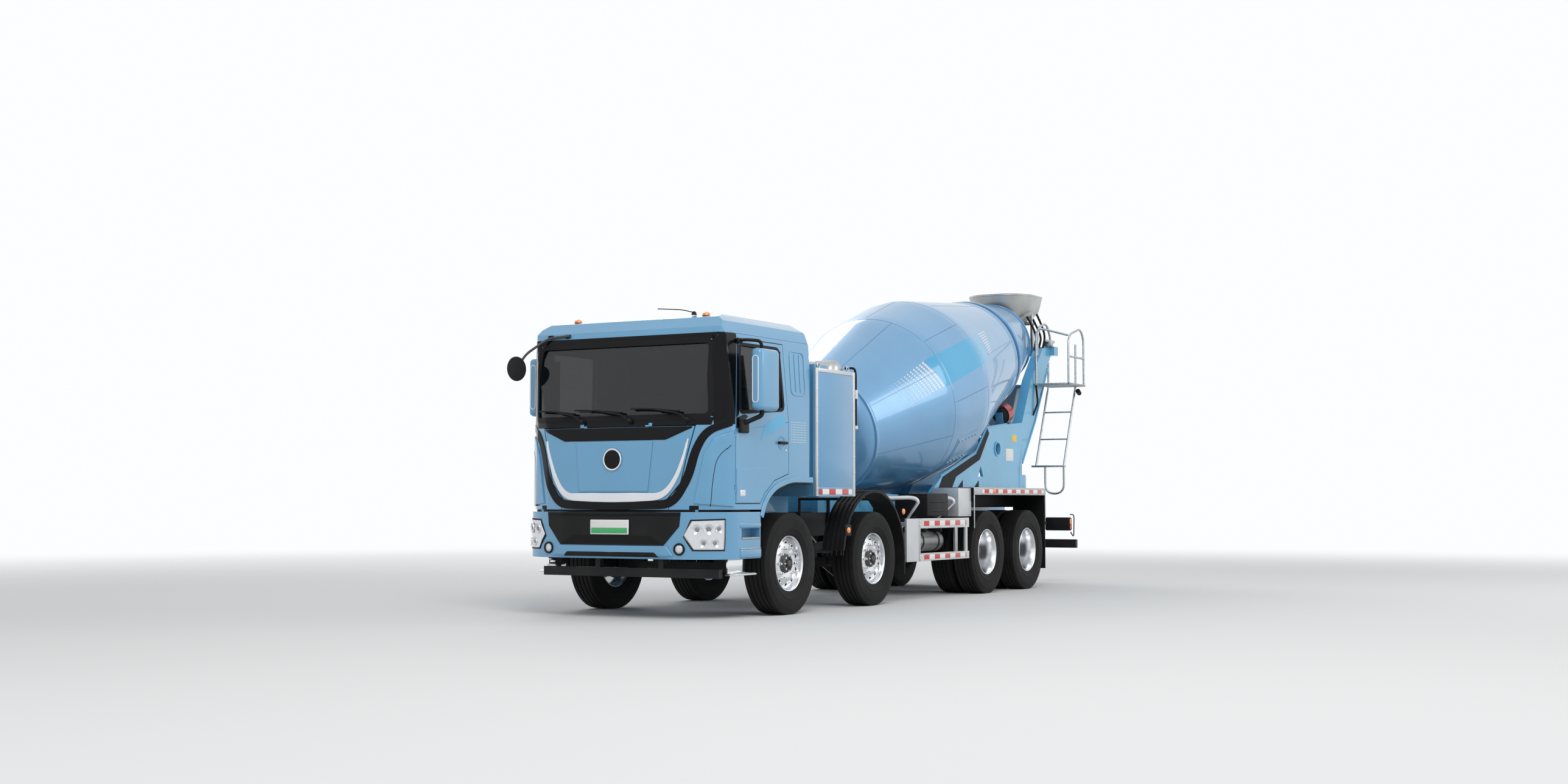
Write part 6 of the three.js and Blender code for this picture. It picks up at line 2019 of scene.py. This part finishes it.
@dataclass
class Upper:
    """Battery cabinet, water tank, rear frame, hopper and ladder."""

    body: str = "chassis"
    eye_y: Sequence[float] = (0.62, 1.3)
    post_y: Sequence[float] = (0.547, 1.398)
    sight_line: Route = ((1.15, 1.36, 2.66), (1.235, 1.44, 2.665), (1.243, 1.452, 2.6),
                                   (1.243, 1.452, 2.02), (1.21, 1.43, 1.98))
    water_tank: Point = (-1.19, 1.17, 2.5903)
    water_radius: float = 0.15
    water_length: float = 2.38
    water_straps: Sequence[float] = (-0.9, -0.3, 0.3, 0.9)
    hopper_levels: Sequence[tuple[float, ...]] = ((3.535, 0.158, 0.108, 8.227, 0.05),
                                                  (3.6, 0.17, 0.125, 8.3, 0.06),
                                                  (3.72, 0.205, 0.175, 8.47, 0.08),
                                                  (3.85, 0.33, 0.33, 8.6, 0.26),
                                                  (3.985, 0.44, 0.48, 8.71, 0.36),
                                                  (4.1, 0.475, 0.52, 8.71, 0.4),
                                                  (4.2295, 0.5, 0.55, 8.71, 0.42))
    hopper_wall: float = 0.008
    rim_level: tuple[float, ...] = (4.212, 0.487, 0.537, 8.71, 0.407)
    plate_x: float = 0.7404
    plate_edges: Sequence[Route] = (
        ((0.72, 4.8, 1.505), (0.72, 5.92, 1.835), (0.72, 6.3, 2.185), (0.72, 7.0, 2.255)),
        ((0.705, 7.6, 1.72), (0.705, 8.11, 2.35), (0.705, 8.6, 3.135)))
    plate_hole: tuple[float, float, float] = (6.62, 1.9, 0.085)
    # Outline of a black sheet on each side plate under the drum's curve: painted shade of the drum's
    # underside.
    drum_shade_outline: Line = ((4.62, 1.245), (4.83, 1.495), (5.91, 1.815), (6.29, 2.165), (6.34, 2.1),
                              (6.02, 1.74), (5.25, 1.5), (5.02, 1.245))
    cutout_starts: Sequence[float] = (5.12, 5.64)
    hoses: Sequence[Route] = (
        ((0.62, 8.46, 3.4), (0.64, 8.52, 3.58), (0.6, 8.5, 3.7), (0.5, 8.56, 3.86)),
        ((0.58, 8.4, 3.38), (0.57, 8.5, 3.62), (0.52, 8.44, 3.78), (0.42, 8.52, 3.9)),
        ((0.66, 8.52, 3.42), (0.68, 8.58, 3.6), (0.6, 8.64, 3.78), (0.5, 8.7, 3.95)))
    grab_line: Route = ((0.66, 8.3, 3.3), (0.68, 8.3, 3.72), (0.68, 8.62, 3.8),
                                  (0.68, 8.78, 3.6), (0.68, 8.8, 3.42))
    deck_z: float = 2.88
    deck_x: float = 1.225
    deck_y: tuple[float, float] = (8.09, 8.7)
    ladder_x: tuple[float, float] = (0.66, 1.085)
    ladder_foot: tuple[float, float] = (8.23, 1.7)
    stile_tops: tuple[float, float] = (3.23, 3.48)
    rung_z: Sequence[float] = (2.08, 2.48)
    cabinet_bars: Sequence[Bars] = (
        Bars("cabinet_panel", Paint.PANEL, 0.002, [(1.243, 1.2475, 0.575, 1.365, 1.335, 2.565)]),
        Bars("cabinet_posts", Paint.LIGHT, 0.006, [
            (1.225, 1.2515, 0.526, 0.568, 1.232, 2.615), (1.225, 1.2515, 1.372, 1.424, 1.232, 2.615),
            (1.225, 1.251, 0.568, 1.372, 2.572, 2.615)]),
        Bars("cabinet_tape", Paint.TAPE, 0.001, [(1.243, 1.2528, 0.6, 1.345, 1.252, 1.312)], "cab_paint"),
        Bars("cabinet_louvres", Paint.PANEL, 0.003, [
            (0.06 + 0.19 * k, 0.14 + 0.19 * k, 0.548, 0.556, 1.45, 2.4) for k in range(6)]),
        Bars("sight_tube_clips", Paint.WHITE, 0.006, [
            (1.226, 1.262, 1.432, 1.472, 1.98, 2.02), (1.226, 1.262, 1.432, 1.472, 2.32, 2.42)]),
    )
    rear_bars: Sequence[Bars] = (
        Bars("hopper_legs", Paint.STEEL, 0.008, [
            (0.38, 0.42, 8.73, 8.79, 3.4603, 3.99), (-0.44, 0.44, 8.735, 8.785, 3.8, 3.85)], "stainless"),
        Bars("label_yellow", Paint.YELLOW, 0.0007, [(0.7404, 0.742, 7.14, 7.3, 2.01, 2.11)]),
        Bars("label_white", Paint.WHITE, 0.0007, [(0.7404, 0.742, 6.92, 7.18, 1.74, 1.91)], "frame_paint"),
        Bars("water_valve", Paint.ZINC, 0.01, [
            (0.63, 0.76, 8.62, 8.7, 3.46, 3.54), (0.66, 0.72, 8.55, 8.86, 3.52, 3.56)], sides=(1,)),
        Bars("flush_pump", Paint.FRAME, 0.02, [(0.3, 0.66, 7.62, 7.86, 1.34, 1.56)], sides=(1,)),
        Bars("platform_grating", Paint.ZINC, 0.0015, [
            *((0.702, 1.24, y, y + 0.012, 2.853, 2.879) for y in np.linspace(8.075, 8.7, 22)),
            (0.6, 1.1, 8.195, 8.275, 1.672, 1.698), (0.7013, 1.24, 8.06, 8.072, 2.852, 2.88),
            (0.7013, 1.24, 8.708, 8.72, 2.852, 2.88), (0.7013, 0.715, 8.06, 8.72, 2.852, 2.88),
            (1.228, 1.24, 8.06, 8.72, 2.852, 2.88)], sides=(1,)),
    )

    def cabinet(self) -> None:
        """Battery cabinet with bolted posts, lifting eyes, panels, louvres and a sight tube."""
        finished("battery_cabinet", Paint.CAB, 0.01)
        ring = circle(0.028, 20)
        eyes = []
        for y in self.eye_y:
            path = np.stack([np.full(len(ring), 1.222), y + ring[:, 0], 2.64 + ring[:, 1]], -1)
            eyes.append(sweep(circle(0.007, 8), path + [0, AXLE_1_Y, 0], (1, 0, 0), closed=True))
        make("lifting_eyes", both_sides(joined(eyes)), self.body, Paint.ZINC, smooth=60)
        bolts = [hexagon_nut(truck(1.251, y, z), (1, 0, 0), 0.009, 0.007)
                 for y in self.post_y for z in np.linspace(1.32, 2.55, 8)]
        make("cabinet_bolts", both_sides(joined(bolts)), self.body, Paint.CHROME, slot="galvanised")
        make("sight_tube", pipes([self.sight_line], 0.013), self.body, Paint.GLOSS_BLACK, smooth=60)
        for piece in self.cabinet_bars:
            piece.build(self.body)

    def tank(self) -> None:
        """Water tank with dished ends, straps and a filler."""
        x, y, z = self.water_tank
        r, across = self.water_radius, (1, 0, 0)
        outline = [(0.0, 0.0), (0.004, 0.06), (0.02, 0.115), (0.05, 0.142), (0.075, r), (2.305, r),
                   (2.33, 0.142), (2.36, 0.115), (2.376, 0.06), (self.water_length, 0.0)]
        make("tank_shell", revolved(outline, truck(x, y, z), across, 64), self.body, Paint.STEEL,
             slot="stainless", smooth=40, replaces=["water_tank"])
        straps = [strap(truck(place, y, z), across, r, 0.022) for place in self.water_straps]
        make("tank_straps", joined(straps), self.body, Paint.ZINC, smooth=40)
        cap = [(0.0, 0.05), (0.03, 0.05), (0.034, 0.062), (0.06, 0.062), (0.066, 0.055), (0.066, 0.0)]
        filler = revolved(cap, truck(0.6, y, z + r - 0.004), (0, 0, 1), 28)
        make("tank_filler", filler, self.body, Paint.PLASTIC)

    @staticmethod
    def hopper_ring(z: float, half_x: float, half_y: float, y: float, corner: float) -> np.ndarray:
        """Return one level of the hopper: a rounded rectangle lying flat at a height."""
        outline = rounded_rectangle(half_x, half_y, corner, 8)
        return np.stack([outline[:, 0], y + AXLE_1_Y + outline[:, 1], np.full(len(outline), z)], -1)

    def hopper(self) -> None:
        """Round-cornered feed hopper, open from its rim down to its throat, with a rolled rim."""
        wall = self.hopper_wall
        outside = [self.hopper_ring(*level) for level in self.hopper_levels]
        inside = [self.hopper_ring(z, a - wall, b - wall, y, max(c - wall, 0.01))
                  for z, a, b, y, c in self.hopper_levels[::-1]]
        bowl = grid(np.array(outside + inside), wrap_rows=True, wrap_columns=True)
        make("hopper_bowl", bowl, self.body, Paint.STEEL, slot="stainless", smooth=30, replaces=["hopper"])
        rim = sweep(circle(0.0125, 10), self.hopper_ring(*self.rim_level), (0, 0, 1), closed=True)
        make("hopper_rim", rim, self.body, Paint.STEEL, slot="stainless", smooth=60)

    def flat_pair(self, outline: Line, out: float) -> list[Mesh]:
        """Thin plates on the rear frame's side plates, left and right.

        Args:
            outline: (y, z) points from the ground under the first axle.
            out: the x of the plates' outer face.

        Returns:
            The two plates.
        """
        places = [(truck(0, y, z)[1], z) for y, z in outline]
        return [slab(places, "X", *sorted((side * self.plate_x, side * out))) for _, side in SIDES]

    def rear_frame(self) -> None:
        """Side plates with bent edges, black sheets of painted shade under the drum and in the cut-outs,
        hoses and grab tubes.
        """
        finished("rear_frame", Paint.FRAME, 0.006)
        finished("mixer_subframe", Paint.FRAME, 0.006)
        y, z, r = self.plate_hole
        ring = revolved([(0.0, r), (0.012, r), (0.012, r + 0.02), (0.0, r + 0.02)], truck(0.74, y, z),
                        (1, 0, 0), 32, ring=True)
        edges = pipes(self.plate_edges, 0.014, 0.05, 8)
        make("plate_flanges", both_sides(joined([ring, edges])), self.body, Paint.FRAME, smooth=50)
        # Black sheets under the drum's curve on both plates: painted shade.
        make("plate_drum_shade", joined(self.flat_pair(self.drum_shade_outline, 0.7425)), self.body, Paint.SEAL,
             slot="chassis_black")
        # Black triangles in the shape of the plates' cut-outs: painted shade where the cut-outs open onto
        # the dark inside.
        cutout_shades = []
        for start in self.cutout_starts:
            cutout_shades += self.flat_pair([(start, 1.25), (start + 0.34, 1.25), (start + 0.34, 1.46)], 0.742)
        make("plate_cutout_shade", joined(cutout_shades), self.body, Paint.SEAL, slot="chassis_black")
        make("hopper_hoses", pipes(self.hoses, 0.016, 0.09), self.body, Paint.SEAL, smooth=60)
        grab = pipes([self.grab_line], 0.017, 0.1)
        make("grab_tube", both_sides(grab), self.body, Paint.ZINC, smooth=60)

    def ladder(self) -> None:
        """Round bars in place of the frame's faceted ones, with a hooped foot and rail."""
        deck, far, (near_y, far_y) = self.deck_z, self.deck_x, self.deck_y
        x0, x1 = self.ladder_x
        foot_y, foot_z = self.ladder_foot
        stiles = [[(x, foot_y, 1.69), (x, 8.735, deck - 0.01), (x, 8.745, top)]
                  for x, top in zip(self.ladder_x, self.stile_tops)]
        rails = [[(far, near_y, deck), (far, near_y, 3.56), (far, 8.56, 3.69), (far, far_y, 3.56),
                  (far, far_y, deck)], [(0.73, near_y, deck), (0.73, near_y, 3.7), (far, near_y, 3.56)],
                 [(far, near_y, 3.26), (far, far_y, 3.26)],
                 [(x1, foot_y, foot_z), (x1, foot_y, 1.29), (0.8, foot_y, 1.29), (0.8, foot_y, foot_z)]]
        rungs = []
        for z in self.rung_z:
            y = foot_y + (z - foot_z) / (deck - 0.01 - foot_z) * 0.505
            rungs.append([(x0, y, z), (x1, y, z)])
        tubes = [pipes(stiles, 0.0155, 0.06), pipes(rails, 0.0155, 0.15), pipes(rungs, 0.0115)]
        make("ladder_bars", joined(tubes), self.body, Paint.ZINC, smooth=60, replaces=["ladder_platform"])
        stay = pipes([[(0.72, 8.1, 2.86), (0.74, 8.12, 2.6), (0.705, 8.02, 2.42)]], 0.014)
        barrel = [(0.0, 0.0), (0.0, 0.035), (0.07, 0.035), (0.085, 0.03), (0.085, 0.0)]
        camera = revolved(barrel, truck(1.16, 8.62, 2.79), (0, 1, -0.5), 24)
        make("platform_stay", joined([stay, camera]), self.body, Paint.PLASTIC, smooth=50)

    def build(self) -> None:
        """Build the upper works."""
        self.cabinet()
        self.tank()
        self.hopper()
        self.rear_frame()
        self.ladder()
        for piece in self.rear_bars:
            piece.build(self.body)


@dataclass
class BareFrame:
    """Every CAD node that no finer piece stands for."""

    def build(self) -> None:
        """Give each node that still shows its own edges and finish."""
        slots = {row["node"]: row["material_slot"] for row in frame["record"]["subparts"]}
        paints = {
            "cab_paint": Paint.CAB, "frame_paint": Paint.FRAME, "drum_paint": Paint.FRAME,
            "chassis_black": Paint.CHASSIS, "tyre_rubber": Paint.RUBBER, "alloy": Paint.ALLOY,
            "hub_steel": Paint.HUB, "galvanised": Paint.ZINC, "stainless": Paint.STEEL,
            "black_plastic": Paint.PLASTIC, "interior_trim": Paint.TRIM, "glass": Paint.GLASS,
        }
        for node, item in sorted(frame["nodes"].items()):
            if not item.hide_render:
                finished(node, paints[slots[node]], slot=slots[node])


# ---------------------------------------------------------------------------
# Camera, floor and light
# ---------------------------------------------------------------------------


@dataclass
class Studio:
    """A pale floor, a pale surround, soft light and the camera."""

    eye: Point = (10.694, -16.698, 1.176)
    azimuth: float = 29.753
    pitch: float = 3.421
    lens: float = 42.08
    floor_half: float = 60.0
    floor_fade: tuple[float, float] = (9.0, 26.0)
    floor_colour: Colour = (0.8, 0.8, 0.795)

    def camera(self) -> None:
        """Stand the camera at eye, turned to the azimuth and pitched up."""
        data = bpy.data.cameras.new("camera")
        data.sensor_width = 36.0
        data.lens = self.lens
        data.clip_end = 400.0
        camera = bpy.data.objects.new("camera", data)
        camera.location = truck(*self.eye)
        camera.rotation_euler = (math.radians(90 + self.pitch), 0.0, math.radians(self.azimuth))
        bpy.context.scene.collection.objects.link(camera)
        bpy.context.scene.camera = camera

    def floor(self) -> None:
        """One flat sheet under the tyres, white to the camera far off."""
        half = self.floor_half
        corners = np.array([[[-half, -half, 0], [half, -half, 0]], [[-half, half, 0], [half, half, 0]]],
                           float)
        data = bpy.data.meshes.new("floor")
        vertices, faces = grid(corners)
        data.from_pydata(vertices.tolist(), [], faces)
        floor = bpy.data.objects.new("floor", data)
        bpy.context.scene.collection.objects.link(floor)
        shader = Shader("floor_sheet")
        shader.set(Base_Color=self.floor_colour, Roughness=0.85, Specular_IOR_Level=0.1)
        shader.bump(shader.noise(40.0, 4.0), 0.0005)
        x, y, _ = shader.axes()
        away = (x * x + y * y).root().ramp(self.floor_fade[0], self.floor_fade[1])
        clear = shader.node("ShaderNodeBsdfTransparent")
        blend = shader.node("ShaderNodeMixShader", None,
                            {0: away, 1: shader.surface.outputs[0], 2: clear.outputs[0]})
        out = next(node for node in shader.tree.nodes if node.type == "OUTPUT_MATERIAL")
        shader.tree.links.new(blend.outputs[0], out.inputs[0])
        floor.data.materials.append(shader.material)
        floor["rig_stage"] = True

    def world(self) -> None:
        """Even grey light, and a pale surround for what the eye, gloss and glass see."""
        world = bpy.data.worlds.new("surround")
        bpy.context.scene.world = world
        world.use_nodes = True
        tree = world.node_tree
        tree.nodes.clear()
        path = tree.nodes.new("ShaderNodeLightPath")
        seen = path.outputs["Is Camera Ray"]
        for name in ("Is Glossy Ray", "Is Transmission Ray"):
            either = tree.nodes.new("ShaderNodeMath")
            either.operation = "MAXIMUM"
            tree.links.new(seen, either.inputs[0])
            tree.links.new(path.outputs[name], either.inputs[1])
            seen = either.outputs[0]
        background = tree.nodes.new("ShaderNodeBackground")
        strength = tree.nodes.new("ShaderNodeMapRange")
        strength.inputs["To Min"].default_value = 0.55
        strength.inputs["To Max"].default_value = 1.0
        tree.links.new(seen, strength.inputs["Value"])
        tree.links.new(strength.outputs[0], background.inputs["Strength"])
        background.inputs["Color"].default_value = (0.97, 0.985, 1.0, 1.0)
        out = tree.nodes.new("ShaderNodeOutputWorld")
        tree.links.new(background.outputs[0], out.inputs[0])

    def lamp(self, name: str, place: Point, power: float, size: float) -> None:
        """Hang a square soft lamp that faces the middle of the truck.

        Args:
            name: the lamp's name.
            place: where it hangs.
            power: its power in watts.
            size: its width in metres.
        """
        data = bpy.data.lights.new(name, "AREA")
        data.energy, data.size = power, size
        lamp = bpy.data.objects.new(name, data)
        lamp.location = place
        aim = Vector((0.0, 0.0, 1.8)) - Vector(place)
        lamp.rotation_euler = aim.to_track_quat("-Z", "Y").to_euler()
        bpy.context.scene.collection.objects.link(lamp)

    def build(self) -> None:
        """Set up the whole studio."""
        self.camera()
        self.floor()
        self.world()
        self.lamp("key_lamp", (9.0, -13.0, 13.0), 1050.0, 7.0)
        self.lamp("fill_lamp", (14.0, 6.0, 8.0), 420.0, 7.0)
        self.lamp("back_lamp", (-12.0, 10.0, 12.0), 600.0, 8.0)
        view = bpy.context.scene.view_settings
        view.view_transform = "Standard"


def write_size() -> None:
    """Work out the frame's box and the finished truck's box."""
    boxes = {"cad": CAD_BOX, "visual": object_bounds()}
    {name: [list(low), list(high)] for name, (low, high) in boxes.items()}


def main() -> None:
    """Build the studio and every sub-assembly in order."""
    logging.basicConfig(level=logging.INFO, format="%(name)s %(message)s")
    Studio().build()
    for assembly in (Cab(), Bumper(), RunningGear(), Drum(), Chassis(), Upper(), BareFrame()):
        log.info("building %s", type(assembly).__name__)
        assembly.build()
    write_size()


if __name__ == "__main__":
    main()
